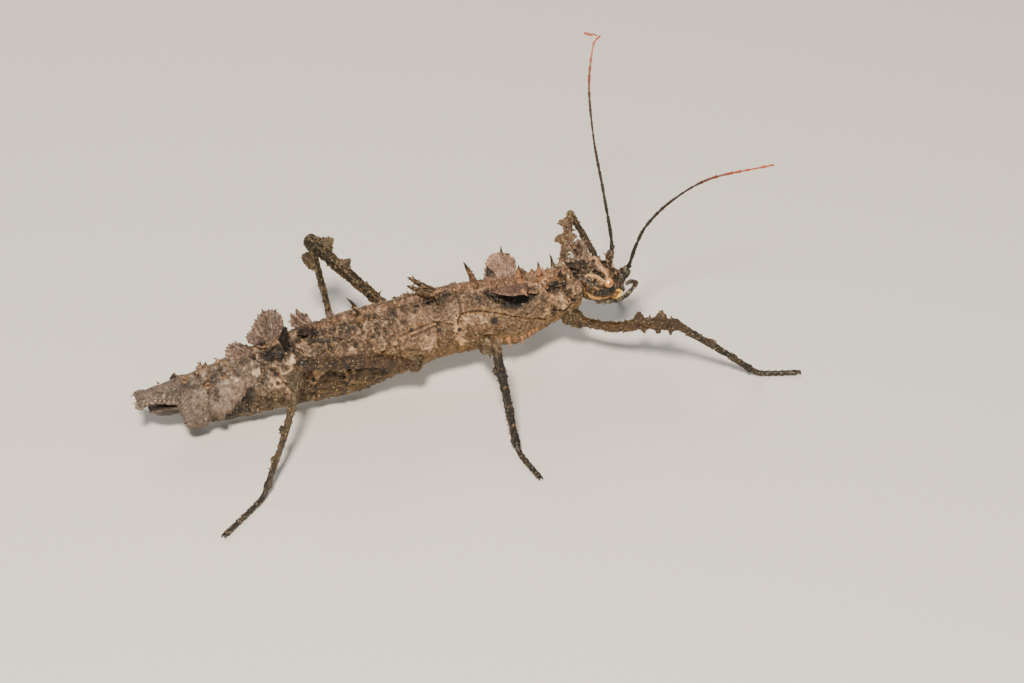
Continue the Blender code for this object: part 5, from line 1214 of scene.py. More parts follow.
# Crown horns
# Two ribbed, leaf-like horns rise from the crown and bend back over the neck, toothed along the top. The
# left one stands up; the right one leans out over a crowd of dark knobs. They are grown from the capsule.
HORN = [(0.10, -0.5), (-0.35, -0.3), (-0.94, 0.72), (-1.32, 1.30), (-1.68, 1.93), (-2.19, 2.32),
        (-2.06, 2.64), (-1.62, 2.50), (-1.32, 2.48), (-0.71, 2.56), (-0.33, 2.33), (-0.26, 1.56),
        (-0.21, 0.98), (0.42, 0.57), (0.45, -0.1), (0.35, -0.5)]
horn_chitin = chitin("ribbed_horn_chitin", "#130f0c", "#42352b", "#705c4c", "#b1977f", 0.12, 0.5, (0.3, 0.7),
                     dust=0.3)
for label, side in SIDES.items():
    draw = random.Random(BRISTLE_SEED + 4)
    left = side > 0
    root = np.array([20.2, 1.0, 10.0]) if left else np.array([19.7, -0.75, 10.4])
    rise = np.array([0.0, 0.0, 1.0]) if left else np.array([0.0, -0.25, 0.97])
    shape = HORN if left else [(1.10 * wide, 0.68 * climb) for wide, climb in HORN]
    tint = (0.08, 0.0, 0.0, 0.0) if left else (-0.20, 0.0, 0.0, 0.35)
    bodies = [leaf(root, rise, np.array([0.0, -1.0, 0.0]), shape, draw, (-0.3, 0.35), 1.0, 0.24, 0.30, 0.045,
                   0.5, 0.18, tint=tint, rows=40, step=0.025)]
    # Pale pointed teeth stand along the top and the front of each horn
    for wide, climb, length in ((-2.05, 2.6, 0.45), (-1.6, 2.5, 0.45), (-1.1, 2.5, 0.55), (-0.65, 2.5, 0.60),
                                (-0.3, 2.25, 0.50), (-0.2, 1.7, 0.35), (0.1, 0.8, 0.35)):
        aside = np.array([wide if left else 1.10 * wide, 0.0, 0.0])
        base = root + aside + rise * (climb if left else 0.68 * climb)
        outward = np.array([0.35 + 0.3 * draw.random(), -0.2 * side, 0.9 - 0.4 * (climb < 2.3)])
        bodies.append(thorn(base, outward, length, 0.17, sink=0.25, black=1.2, orange=0.08))
    # Knobs and short thorns crowd about the root
    for _ in range(30 if not left else 12):
        base = root + np.array([draw.uniform(-0.75, 0.75), side * draw.uniform(-0.3, 0.3),
                                draw.uniform(-0.25, 0.55)])
        knob = draw.uniform(0.12, 0.25)
        outward = np.array([draw.uniform(-0.6, 0.6), side * draw.uniform(0.0, 0.9), 0.8])
        lump = [base - 0.3 * unit(outward), base, base + 1.4 * knob * unit(outward)]
        bodies.append(shaft(lump, [0.8 * knob, knob, 0.10 * knob], 10, 0.2, 2.0,
                            (draw.uniform(-0.4, 0.5), 0.05, 0.0, draw.uniform(0.0, 0.7)), size=0.2))
    # Dark granules and short spikes cover the hind corner of the capsule, over the neck
    for _ in range(46):
        place, outward = draw.uniform(18.1, 19.9), draw.uniform(0.1, 1.55)
        base = np.array([place, side * outward, 8.6 + 1.62 * math.sqrt(1 - (outward / 1.85) ** 2)])
        tall = draw.uniform(0.08, 0.26) + 0.3 * (place < 18.6)
        bodies.append(thorn(base, (-0.6, side * 0.5 * outward, 1.0), tall, draw.uniform(0.16, 0.26), sink=0.3,
                            black=draw.uniform(-0.6, 1.2)))
    make_piece("horn_skin_" + label, bodies, horn_chitin, ("horn_" + label,))

# Eyes
# Compound eyes: small amber domes of clear lens chitin, finely faceted, smooth and wet-bright.


def amber_eye():
    """Clear tanned chitin: peach above and burnt orange below as painted light from above, with a wet gloss.
    """
    material = bpy.data.materials.new("amber_lens_chitin")
    material.use_nodes = True
    tree = material.node_tree
    shader = tree.nodes["Principled BSDF"]
    tone = add(tree, "ShaderNodeAttribute", attribute_name="tone")
    parts = add(tree, "ShaderNodeSeparateColor", {"Color": tone.outputs["Color"]})
    place = add(tree, "ShaderNodeTexCoord").outputs["Object"]
    cloud = add(tree, "ShaderNodeTexNoise", {"Vector": place, "Scale": 1 / (0.3 * MM), "Detail": 3.0})
    level = add(tree, "ShaderNodeMath", {
        0: cloud.outputs["Fac"], 1: 0.35, 2: parts.outputs["Red"]}, operation="MULTIPLY_ADD")
    ramp = add(tree, "ShaderNodeValToRGB", {"Fac": level.outputs[0]})
    stops = ramp.color_ramp.elements
    stops[0].color = srgb("#3a1606")
    stops[1].color = srgb("#ffe9d2")
    for spot, colour in ((0.30, "#7e3c14"), (0.65, "#c68138"), (0.80, "#dca667")):
        stops.new(spot).color = srgb(colour)
    tree.links.new(ramp.outputs["Color"], shader.inputs["Base Color"])
    facets = add(tree, "ShaderNodeTexVoronoi", {
        "Vector": place, "Scale": 1 / (0.05 * MM)}, feature="DISTANCE_TO_EDGE")
    relief = add(tree, "ShaderNodeBump", {
        "Height": facets.outputs["Distance"], "Strength": 0.12, "Distance": 0.01 * MM})
    tree.links.new(relief.outputs["Normal"], shader.inputs["Normal"])
    shader.inputs["Roughness"].default_value = 0.28
    shader.inputs["Coat Weight"].default_value = 1.0
    shader.inputs["Coat Roughness"].default_value = 0.25
    shader.inputs["Subsurface Weight"].default_value = 0.10
    shader.inputs["Subsurface Radius"].default_value = (0.0004, 0.0002, 0.0001)
    return material


lens = amber_eye()
for label, side in SIDES.items():
    rise = np.radians(np.linspace(-89.0, 89.0, 40))
    turn = 2 * math.pi * np.arange(64) / 64
    outward = unit([0.35, side * 1.0, 0.25])
    across = unit(np.cross(outward, UP))
    above = np.cross(across, outward)
    above = above if above[2] > 0 else -above
    ring = np.cos(rise)[:, None, None] * (np.cos(turn)[None, :, None] * across
                                          + np.sin(turn)[None, :, None] * above)
    ball = ring + np.sin(rise)[:, None, None] * outward
    grid = eye_centre(side) + ball * EYE_RADIUS
    tone = np.zeros((*grid.shape[:2], 4))
    # A dark false pupil lies round the middle of the lens, with a painted highlight on its upper side
    pupil = bell(np.arccos(np.clip(ball @ unit([0.10, side * 0.80, 0.35]), -1, 1)), 0.0, 0.50)
    painted_highlight = bell(np.arccos(np.clip(ball @ unit([-0.28, side * 0.72, 0.62]), -1, 1)), 0.0, 0.26)
    # The lens is painted lighter towards its top as light from above, and its highlight is painted
    tone[..., 0] = 0.50 + 0.12 * ball[..., 2] - 0.42 * pupil + 0.75 * painted_highlight
    make_piece("eye_ball_" + label, [closed_body(grid, tone)], lens, ("eye_" + label,))

# Mouthparts
# Beside the mouth each jaw is a bright ochre hook of smooth horn round a dark gap. Below it the maxilla
# is a lumpy dark block, and jointed palps hook forward and up. The upper lip closes the front.
mouth_horn = chitin("ochre_jaw_horn", "#7a4a16", "#dda83e", "#f6d373", "#fff2be", 0.20, 0.5, (0.18, 0.35),
                    0.1)
palp_chitin = chitin("dark_palp_chitin", "#0c0b08", "#28231a", "#4d4333", "#b3a58b", 0.12, 0.4, (0.14, 0.4),
                     0.5)
for label, side in SIDES.items():
    hook = [(22.35, 1.25, 7.35), (22.85, 1.22, 7.22), (23.12, 1.12, 6.85), (22.95, 1.02, 6.45),
            (22.45, 1.02, 6.35), (22.15, 1.05, 6.45)]
    ring = [(x, side * y, z) for x, y, z in hook]
    bodies = [shaft(ring, [0.10, 0.16, 0.19, 0.22, 0.20, 0.12], 16, 0.03, 2.0, (0.05, 0.0, 0.0, 0.0))]
    core = [(21.8, side * 1.1, 7.0), (22.4, side * 1.05, 6.85), (22.8, side * 0.85, 6.75)]
    bodies.append(shaft(core, [0.50, 0.46, 0.25], 20, 0.08, 2.0, (-0.6, 0.35, 0.0, 0.30)))
    make_piece("jaw_hook_" + label, bodies, mouth_horn, ("mandible_" + label,))
    palp = curve_through([(20.9, side * 0.75, 6.5), (21.7, side * 0.90, 5.95), (23.2, side * 1.00, 5.95),
                          (24.2, side * 1.05, 6.75), (24.75, side * 1.10, 7.60), (24.2, side * 1.10, 7.92),
                          (23.6, side * 1.10, 7.70)], 0.04)
    run = np.concatenate([[0], np.cumsum(np.linalg.norm(np.diff(palp, axis=0), axis=1))])
    share = run / run[-1]
    joints = np.clip(sum(bell(share, spot, 0.025) for spot in (0.28, 0.46, 0.66, 0.83)), 0, 1)
    girth = (0.29 - 0.07 * share) * (1 - 0.30 * joints) + 0.03 * bell(share, 0.80, 0.05)
    girth[-4:] *= (0.9, 0.75, 0.5, 0.2)
    grid = rod_grid(palp, girth, 22)
    high = wrinkle(grid.reshape(-1, 3), 0.2, 6.0).reshape(grid.shape[:2])
    grid = palp[:, None] + (grid - palp[:, None]) * (1 + 0.16 * high[..., None])
    tone = np.zeros((*grid.shape[:2], 4))
    # Bumps of the palp are painted lighter as painted highlights; its joints are dark
    tone[..., 0] = 0.8 * high - 0.2 * joints[:, None]
    tone[..., 1] = (0.12 * bell(share, 0.80, 0.05))[:, None]
    tone[..., 3] = (0.55 * joints)[:, None]
    bodies = [closed_body(grid, tone)]
    draw = random.Random(BRISTLE_SEED + 5)
    for place, drop, size in ((20.6, 6.55, 0.42), (21.1, 6.25, 0.45), (21.7, 6.15, 0.44), (22.3, 6.05, 0.40),
                              (22.8, 6.05, 0.34), (21.4, 5.85, 0.28), (22.1, 5.75, 0.27), (20.8, 6.05, 0.26)):
        centre = np.array([place, side * (0.95 - 0.1 * (place - 20.6)), drop])
        lump = [centre + np.array([-size, 0.0, 0.1]), centre, centre + np.array([size, 0.0, -0.05])]
        bodies.append(shaft(lump, [0.08, size * 0.95, 0.08], 16, 0.2, 2.0,
                            (draw.uniform(0.0, 0.6), 0.05, 0.0, 0.15), size=0.25))
    make_piece("palp_and_maxilla_" + label, bodies, palp_chitin, ("palp_" + label,))
lip_path = curve_through([HEAD_BACK + HEAD_AHEAD * 4.2, HEAD_BACK + HEAD_AHEAD * 4.9 - HEAD_UP * 0.35,
                          HEAD_BACK + HEAD_AHEAD * 5.45 - HEAD_UP * 0.7], 0.04)
lip_girth = 0.50 - 0.24 * np.linspace(0, 1, len(lip_path)) ** 1.5
lip_girth[-4:] *= (0.92, 0.8, 0.6, 0.25)
grid, tone = roughen(rod_grid(lip_path, lip_girth, 32, flat=1.35), 0.03, 0.03, 2.0)
tone[..., 3] += 0.25
make_piece("upper_lip", [closed_body(grid, tone)], palp_chitin, ("labrum",))

# Antennae
# Each feeler stands on a knobby root joint with one toothed lobe, and then runs on as a whip of about
# forty short joints, dark olive with rusty tips. The joints are cups strung along the curve.
FEELERS = {
    "left": [(22.4, 1.0, 8.8), (23.0, 1.3, 11.1), (22.8, 3.4, 16.3), (22.6, 5.7, 21.0), (23.0, 8.3, 25.6),
             (24.1, 10.3, 28.9), (24.9, 11.0, 29.6), (24.1, 11.5, 29.8)],
    "right": [(22.6, -1.0, 8.4), (23.7, -1.4, 9.9), (24.3, -2.1, 12.9), (25.1, -2.9, 15.6),
              (27.0, -4.5, 18.95), (30.0, -6.9, 22.3), (34.7, -10.3, 24.8)],
}
SCAPE_LENGTH = 2.0
JOINT_LENGTH = 0.42


def feeler_chitin():
    """Dark, finely haired feeler chitin that turns rusty red towards the tip."""
    material = bpy.data.materials.new("feeler_chitin")
    material.use_nodes = True
    tree = material.node_tree
    shader = tree.nodes["Principled BSDF"]
    along = add(tree, "ShaderNodeAttribute", attribute_name="along")
    place = add(tree, "ShaderNodeTexCoord").outputs["Object"]
    grit = add(tree, "ShaderNodeTexNoise", {"Vector": place, "Scale": 1 / (0.2 * MM), "Detail": 3.0})
    level = add(tree, "ShaderNodeMath", {
        0: grit.outputs["Fac"], 1: 0.25, 2: along.outputs["Fac"]}, operation="MULTIPLY_ADD")
    ramp = add(tree, "ShaderNodeValToRGB", {"Fac": level.outputs[0]})
    stops = ramp.color_ramp.elements
    stops[0].color = srgb("#181610")
    stops[1].color = srgb("#a8502c")
    for spot, colour in ((0.35, "#29261c"), (0.75, "#352317"), (0.90, "#7c3a20")):
        stops.new(spot).color = srgb(colour)
    tree.links.new(ramp.outputs["Color"], shader.inputs["Base Color"])
    shader.inputs["Roughness"].default_value = 0.5
    relief = add(tree, "ShaderNodeBump", {
        "Height": grit.outputs["Fac"], "Strength": 0.4, "Distance": 0.03 * MM})
    tree.links.new(relief.outputs["Normal"], shader.inputs["Normal"])
    return material


def feeler_tree(material):
    tree = bpy.data.node_groups.new("feeler_joints", "GeometryNodeTree")
    face = tree.interface
    face.new_socket("Geometry", in_out="INPUT", socket_type="NodeSocketGeometry")
    for label in ("Root Radius", "Tip Radius", "Joint Length"):
        face.new_socket(label, in_out="INPUT", socket_type="NodeSocketFloat")
    face.new_socket("Geometry", in_out="OUTPUT", socket_type="NodeSocketGeometry")
    given = add(tree, "NodeGroupInput").outputs
    share = add(tree, "GeometryNodeSplineParameter").outputs["Factor"]
    noted = add(tree, "GeometryNodeStoreNamedAttribute", {
        "Geometry": given["Geometry"], "Name": "along"}, data_type="FLOAT", domain="POINT")
    tree.links.new(share, noted.inputs["Value"])
    strung = add(tree, "GeometryNodeCurveToPoints", {
        "Curve": noted.outputs[0], "Length": given["Joint Length"]}, mode="LENGTH")
    along = add(tree, "GeometryNodeInputNamedAttribute", {"Name": "along"}, data_type="FLOAT").outputs[0]
    girth = add(tree, "ShaderNodeMapRange", {
        "Value": along, "To Min": given["Root Radius"], "To Max": given["Tip Radius"]})
    uneven = add(tree, "FunctionNodeRandomValue", {"Seed": 11}, data_type="FLOAT")
    uneven.inputs[2].default_value = 0.80
    uneven.inputs[3].default_value = 1.50
    girth = add(tree, "ShaderNodeMath", {0: girth.outputs[0], 1: uneven.outputs[1]}, operation="MULTIPLY")
    scale = add(tree, "ShaderNodeCombineXYZ", {
        0: girth.outputs[0], 1: girth.outputs[0], 2: given["Joint Length"]})
    cup = add(tree, "GeometryNodeMeshCone", {
        "Vertices": 12, "Side Segments": 3, "Radius Top": 1.0, "Radius Bottom": 0.72, "Depth": 1.12})
    placed = add(tree, "GeometryNodeInstanceOnPoints", {
        "Points": strung.outputs["Points"], "Instance": cup.outputs["Mesh"],
        "Rotation": strung.outputs["Rotation"], "Scale": scale.outputs[0]})
    real = add(tree, "GeometryNodeRealizeInstances", {"Geometry": placed.outputs[0]})
    painted = add(tree, "GeometryNodeSetMaterial", {"Geometry": real.outputs[0], "Material": material})
    add(tree, "NodeGroupOutput", {"Geometry": painted.outputs[0]})
    return tree


whip_chitin = feeler_chitin()
whip_tree = feeler_tree(whip_chitin)
for label, side in SIDES.items():
    path = curve_through(FEELERS[label], 0.10)
    run = np.concatenate([[0], np.cumsum(np.linalg.norm(np.diff(path, axis=0), axis=1))])
    split = int(np.argmax(run > SCAPE_LENGTH))
    ahead = unit(path[split] - path[0])
    end = path[0] + ahead * SCAPE_LENGTH
    root_joint = shaft([path[0] - ahead * 0.5, path[0] + ahead * 0.5, path[0] + ahead * 1.1,
                        path[0] + ahead * 1.6, end],
                       [0.34, 0.38, 0.42, 0.34, 0.22] if side > 0 else [0.38, 0.46, 0.46, 0.40, 0.24], 26,
                       0.2, 2.0, (0.10, 0.12, 0.0, 0.05) if side > 0 else (0.0, 0.0, 0.0, 0.15), size=0.26)
    bodies = [root_joint,
              thorn(path[0] + ahead * 1.0, (-0.7, side * 0.2, 0.7), 1.0, 0.20, sink=0.1, black=0.9,
                    orange=0.3),
              thorn(path[0] + ahead * 1.3, (-0.7, side * 0.2, 0.9), 0.6, 0.15, sink=0.1, black=0.9,
                    orange=0.3),
              thorn(path[0] + ahead * 0.6, (0.6, -side * 0.2, 0.5), 0.5, 0.18, sink=0.1, black=0.9),
              shaft([end - ahead * 0.1, end + ahead * 0.25, path[split + 3], path[split + 6]],
                    [0.20, 0.28, 0.22, 0.16], 20, 0.10, 2.0, (-0.1, 0.0, 0.0, 0.35))]
    make_piece("feeler_root_" + label, bodies, palp_chitin, ("scape_" + label,))
    line = bpy.data.curves.new("feeler_line_" + label, "CURVE")
    line.dimensions = "3D"
    spline = line.splines.new("POLY")
    whip = (path[split + 3:] - FOOTPRINT_MIDDLE) * MM
    spline.points.add(len(whip) - 1)
    for point, spot in zip(spline.points, whip):
        point.co = (*spot, 1.0)
    sizes = {"Root Radius": 0.165 * MM, "Tip Radius": 0.10 * MM, "Joint Length": JOINT_LENGTH * MM}
    mesh = grown_mesh("feeler_whip_" + label, line, whip_tree, sizes)
    piece = placed_piece("feeler_whip_" + label, mesh)
    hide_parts("antenna_" + label)

# Legs
# Each leg is a knobby hip, a ridged thigh and a thin shin, all tubes of chitin with toothed lobes and
# thorns along their edges. They meet at hinges that are hidden by their swollen ends.
# Root inside the trunk, end of the hip, knee, ankle and toe of each leg
LEGS = {
    "front_left": ((16.6, 0.9, 6.6), (17.4, 2.3, 5.5), (22.2, 11.3, 9.0), (25.65, 6.7, 0.95), (27.0, 11.4)),
    "front_right": ((16.8, -0.9, 6.4), (18.3, -2.0, 5.0), (25.9, -9.4, 7.6), (33.7, -10.2, 0.95),
                    (38.4, -11.6)),
    "mid_left": ((8.0, 1.8, 5.6), (8.6, 3.6, 5.0), (14.2, 8.9, 6.8), (15.5, 15.2, 0.95), (17.3, 18.6)),
    "mid_right": ((8.0, -1.8, 5.9), (7.9, -3.5, 5.2), (6.7, -10.4, 9.8), (7.3, -14.4, 0.95), (8.0, -19.3)),
    "hind_left": ((1.0, 1.9, 5.6), (1.1, 3.7, 5.2), (-6.3, 9.6, 13.0), (-5.1, 5.6, 0.95), (-9.3, 9.0)),
    "hind_right": ((1.0, -1.9, 5.6), (0.4, -3.7, 4.9), (-11.7, -6.0, 9.6), (-17.5, -13.1, 1.1),
                   (-22.9, -17.8)),
}
FEMUR_RADII = {
    "front_left": (0.42, 0.44, 0.46, 0.46, 0.46, 0.46, 0.38),
    "front_right": (0.40, 0.44, 0.48, 0.51, 0.53, 0.55, 0.52),
    "mid_left": (0.50, 0.55, 0.57, 0.60, 0.58, 0.54, 0.50),
    "mid_right": (0.50, 0.55, 0.57, 0.60, 0.58, 0.54, 0.52),
    "hind_left": (0.60, 0.56, 0.52, 0.52, 0.55, 0.60, 0.62),
    "hind_right": (0.48, 0.54, 0.60, 0.62, 0.60, 0.58, 0.56),
}
TIBIA_RADII = {
    "front_left": (0.26, 0.30, 0.30, 0.29, 0.28, 0.28, 0.30),
    "front_right": (0.38, 0.38, 0.35, 0.32, 0.30, 0.30, 0.32),
    "mid_left": (0.38, 0.43, 0.43, 0.40, 0.38, 0.36, 0.37),
    "mid_right": (0.42, 0.46, 0.44, 0.40, 0.38, 0.36, 0.37),
    "hind_left": (0.34, 0.34, 0.32, 0.29, 0.29, 0.29, 0.30),
    "hind_right": (0.36, 0.38, 0.36, 0.33, 0.31, 0.30, 0.32),
}
FEMUR_SAG = {"front": -0.55, "mid": 0.0, "hind_left": 0.15, "hind_right": 0.45}
SHIN_BOW = {"front": 0.15, "mid": 0.10, "hind": -0.40}
FOOT_HEIGHT = 0.26
# Toothed lobes of each leg piece: place along it, angle from its upper edge, length
FEMUR_LOBES = {
    "front_left": [(0.88, -90.0, 0.80), (0.66, -90.0, 0.80), (0.68, 80.0, 0.70), (0.97, 10.0, 0.50)],
    "front_right": [(0.58, -40.0, 0.85), (0.82, -45.0, 0.90), (0.64, 135.0, 0.45), (0.80, 135.0, 0.55),
                    (0.95, 140.0, 0.50)],
    "mid_left": [(0.30, 20.0, 0.50)],
    "mid_right": [(0.40, 20.0, 0.60), (0.78, -20.0, 0.75)],
    "hind_left": [(0.62, 10.0, 0.90), (0.86, 40.0, 1.30), (0.97, -5.0, 0.55), (0.97, 175.0, 0.55)],
    "hind_right": [(0.42, 20.0, 0.80), (0.80, 10.0, 0.85)],
}
FEMUR_TEETH = {
    "front_left": [(0.20, 90.0, 0.35), (0.40, -90.0, 0.40), (0.50, 90.0, 0.40), (0.78, 90.0, 0.50),
                   (0.95, 60.0, 0.5)],
    "front_right": [(0.12, 135.0, 0.30), (0.26, 135.0, 0.32), (0.43, 135.0, 0.34), (0.30, -45.0, 0.30),
                    (0.44, -45.0, 0.35), (0.70, -45.0, 0.50), (0.95, -45.0, 0.50), (0.65, -75.0, 0.40)],
    "mid_left": [(0.20, 180.0, 0.35), (0.50, 170.0, 0.40)],
    "mid_right": [(0.20, 180.0, 0.35), (0.50, 170.0, 0.45), (0.62, 80.0, 0.50), (0.97, 0.0, 0.60)],
    "hind_left": [(0.27, 45.0, 0.60), (0.72, 165.0, 0.60), (0.40, 10.0, 0.40), (0.52, 180.0, 0.35)],
    "hind_right": [(0.20, 0.0, 0.40), (0.34, 180.0, 0.45), (0.62, 170.0, 0.50), (0.85, 190.0, 0.55),
                   (0.99, 0.0, 0.60)],
}
TIBIA_LOBES = {
    "front_left": [(0.30, -60.0, 0.50)], "front_right": [(0.42, 0.0, 0.68), (0.74, 0.0, 0.45)],
    "mid_left": [(0.22, 0.0, 0.40)], "mid_right": [(0.24, 90.0, 0.45)], "hind_left": [(0.17, 0.0, 1.05)],
    "hind_right": [(0.17, 0.0, 1.00), (0.56, 0.0, 0.50), (0.79, 0.0, 0.42)],
}
TIBIA_TEETH = {
    "front_left": [(0.15, 20.0, 0.40), (0.60, 180.0, 0.35)],
    "front_right": [(0.15, 20.0, 0.40), (0.28, 0.0, 0.30), (0.60, 180.0, 0.35), (0.74, 0.0, 0.40)],
    "mid_left": [(0.40, 0.0, 0.35), (0.60, 20.0, 0.35)],
    "mid_right": [(0.40, 0.0, 0.35), (0.60, 20.0, 0.35), (0.80, -20.0, 0.30), (0.33, 100.0, 0.30)],
    "hind_left": [(0.37, 0.0, 0.35), (0.50, 0.0, 0.30), (0.66, 10.0, 0.45), (0.80, 0.0, 0.25)],
    "hind_right": [(0.38, 0.0, 0.45), (0.58, 0.0, 0.45), (0.78, 0.0, 0.40), (0.48, 10.0, 0.25)],
}


def limb(points, radii, sides, ridges, swell, shift, tint, knobs=0.15, end_dark=0.0, first_tint=None):
    """Ridged, knobby tube through a few points, rounded at both ends, and darker towards its end.

    Its first fifth may start in the tint of the piece before it.
    """
    path = curve_through(points, 0.09)
    share = np.linspace(0, 1, len(path))
    rows = [(index / (len(radii) - 1), radius) for index, radius in enumerate(radii)]
    girth = through(rows, share)[:, 0] * 0.94
    ahead, _, _ = frames_along(path)
    girth = girth + swell * (bell(share, 1.0, 0.05) + 0.6 * bell(share, 0.0, 0.05))
    domes = np.sin(np.radians([25.0, 50.0, 72.0, 86.0]))
    caps = np.cos(np.radians([25.0, 50.0, 72.0, 86.0]))
    start = [path[0] - ahead[0] * girth[0] * rise for rise in domes[::-1]]
    end = [path[-1] + ahead[-1] * girth[-1] * rise for rise in domes]
    girth = np.concatenate([girth[0] * caps[::-1], girth, girth[-1] * caps])
    path = np.concatenate([start, path, end])
    turn = 2 * math.pi * np.arange(sides) / sides
    run = np.arange(len(path))[:, None] * 0.09
    jitter = 5.0 * wrinkle(path, 1.3, shift)[:, None]
    teeth = 0.5 + 0.5 * np.cos(2 * math.pi * run / 0.7 + jitter + 2.0 * np.cos(ridges * turn)[None])
    edges = np.maximum(np.cos(ridges * turn + math.pi), 0)[None] ** 2 * (0.5 + 0.8 * teeth)
    squared = (abs(np.cos(turn)) ** 3 + abs(np.sin(turn)) ** 3) ** (-1 / 3)
    grid = rod_grid(path, girth * 0.95, sides, squared[None] * (1 + 0.16 * edges))
    flat_points = grid.reshape(-1, 3)
    low = wrinkle(flat_points, 0.75, shift).reshape(grid.shape[:2])
    high = wrinkle(flat_points, 0.26, shift + 5.0).reshape(grid.shape[:2])
    tiny = wrinkle(flat_points, 0.16, shift + 11.0).reshape(grid.shape[:2])
    bump = knobs * low + 0.9 * knobs * high + 0.5 * knobs * tiny
    grid = path[:, None] + (grid - path[:, None]) * (1 + bump)[..., None]
    first_part = np.clip(1 - np.linspace(0, 5, len(grid)), 0, 1)[:, None, None]
    tone = np.zeros((*grid.shape[:2], 4)) + np.array(tint)
    tone += first_part * (np.array(first_tint or tint) - tint)
    # Ridges and bumps are painted lighter and the dips between them darker: painted light and shade of the
    # relief
    tone[..., 0] += 0.20 * low + 0.45 * high + 0.35 * tiny + 0.18 * edges - 0.12
    tone[..., 3] += np.clip(0.06 - 1.0 * low - 0.7 * high - 0.3 * edges, 0, 0.85)
    tone[..., 3] += end_dark * np.linspace(0, 1, len(grid))[:, None] ** 2
    return closed_body(grid, tone)


def leg_rise(start, end, outer, angle):
    """Direction square to a leg piece, turned about it from its upper edge."""
    ahead = unit(end - start)
    upward = unit(outer - ahead * outer.dot(ahead))
    turn = math.radians(angle)
    return upward * math.cos(turn) + np.cross(ahead, upward) * math.sin(turn)


def ornaments(points, radii, outer, lobes, teeth, draw, extra, tint, peaked):
    """Toothed lobes and thorns of a leg piece, and a row of small teeth on each of its edges."""
    path = curve_through(points, 0.09)
    start, end = path[0], path[-1]
    bodies = []
    rows = [(index / (len(radii) - 1), radius) for index, radius in enumerate(radii)]
    for share, angle, length in lobes:
        spot = path[int(share * (len(path) - 1))]
        rise = leg_rise(start, end, outer, angle)
        girth = through(rows, np.array([share]))[0, 0]
        bodies.append(leaf(spot + rise * girth * 0.75, rise, np.cross(rise, end - start),
                           peak(length, length) if peaked else crest(length, length, 0.15 * length), draw,
                           (-length * 1.2, length * 1.0) if peaked else (-length * 0.95, length * 0.95),
                           girth * 0.9, 0.15, 0.30, 0.008, 0.70, 0.26, rows=16,
                           tint=(tint[0], tint[1], 0.0, 0.5 * tint[3])))
    small = [(draw.uniform(0.04, 0.98), 90.0 * draw.randrange(4) + draw.uniform(-25, 25),
              draw.uniform(0.14, 0.30))
             for _ in range(extra)]
    for share, angle, length in list(teeth) + small:
        spot = path[int(share * (len(path) - 1))]
        rise = leg_rise(start, end, outer, angle)
        girth = through(rows, np.array([share]))[0, 0]
        bodies.append(thorn(spot + rise * girth * 0.85, rise, length, 0.08 + 0.24 * length, sink=0.2,
                            sides=7, black=0.9, orange=0.10))
    return bodies


LEG_TINTS = {
    "front_left": (0.26, 0.18, 0.0, -0.10), "front_right": (-0.04, 0.08, 0.05, 0.14),
    "mid_left": (0.0, 0.1, 0.0, 0.0), "mid_right": (0.35, 0.08, 0.0, -0.1),
    "hind_left": (0.12, 0.0, 0.0, 0.0), "hind_right": (-0.04, 0.10, 0.02, 0.14),
}
SHIN_TINTS = {"mid_right": (-0.20, 0.0, 0.0, 0.60), "hind_right": (0.0, 0.0, 0.05, 0.10),
              "front_left": (-0.10, 0.0, 0.05, 0.30), "front_right": (-0.08, 0.0, 0.0, 0.15)}
leg_chitin = chitin("leg_chitin", "#0f0c07", "#2d2418", "#52442e", "#9c8a69", 0.13, 0.6, (0.28, 0.7), 0.8)
foot_chitin = chitin("dark_foot_chitin", "#0b0a08", "#1f1a14", "#3b3227", "#85775f", 0.10, 0.4, (0.22, 0.5),
                     0.45, dust=0.2)
claw_horn = chitin("claw_horn", "#0c0a08", "#1c140e", "#35261a", "#6e5238", 0.10, 0.3, (0.18, 0.35), 0.1)
leg_grains = grain_tree("leg_grains", body_grains)
draw = random.Random(BRISTLE_SEED + 6)
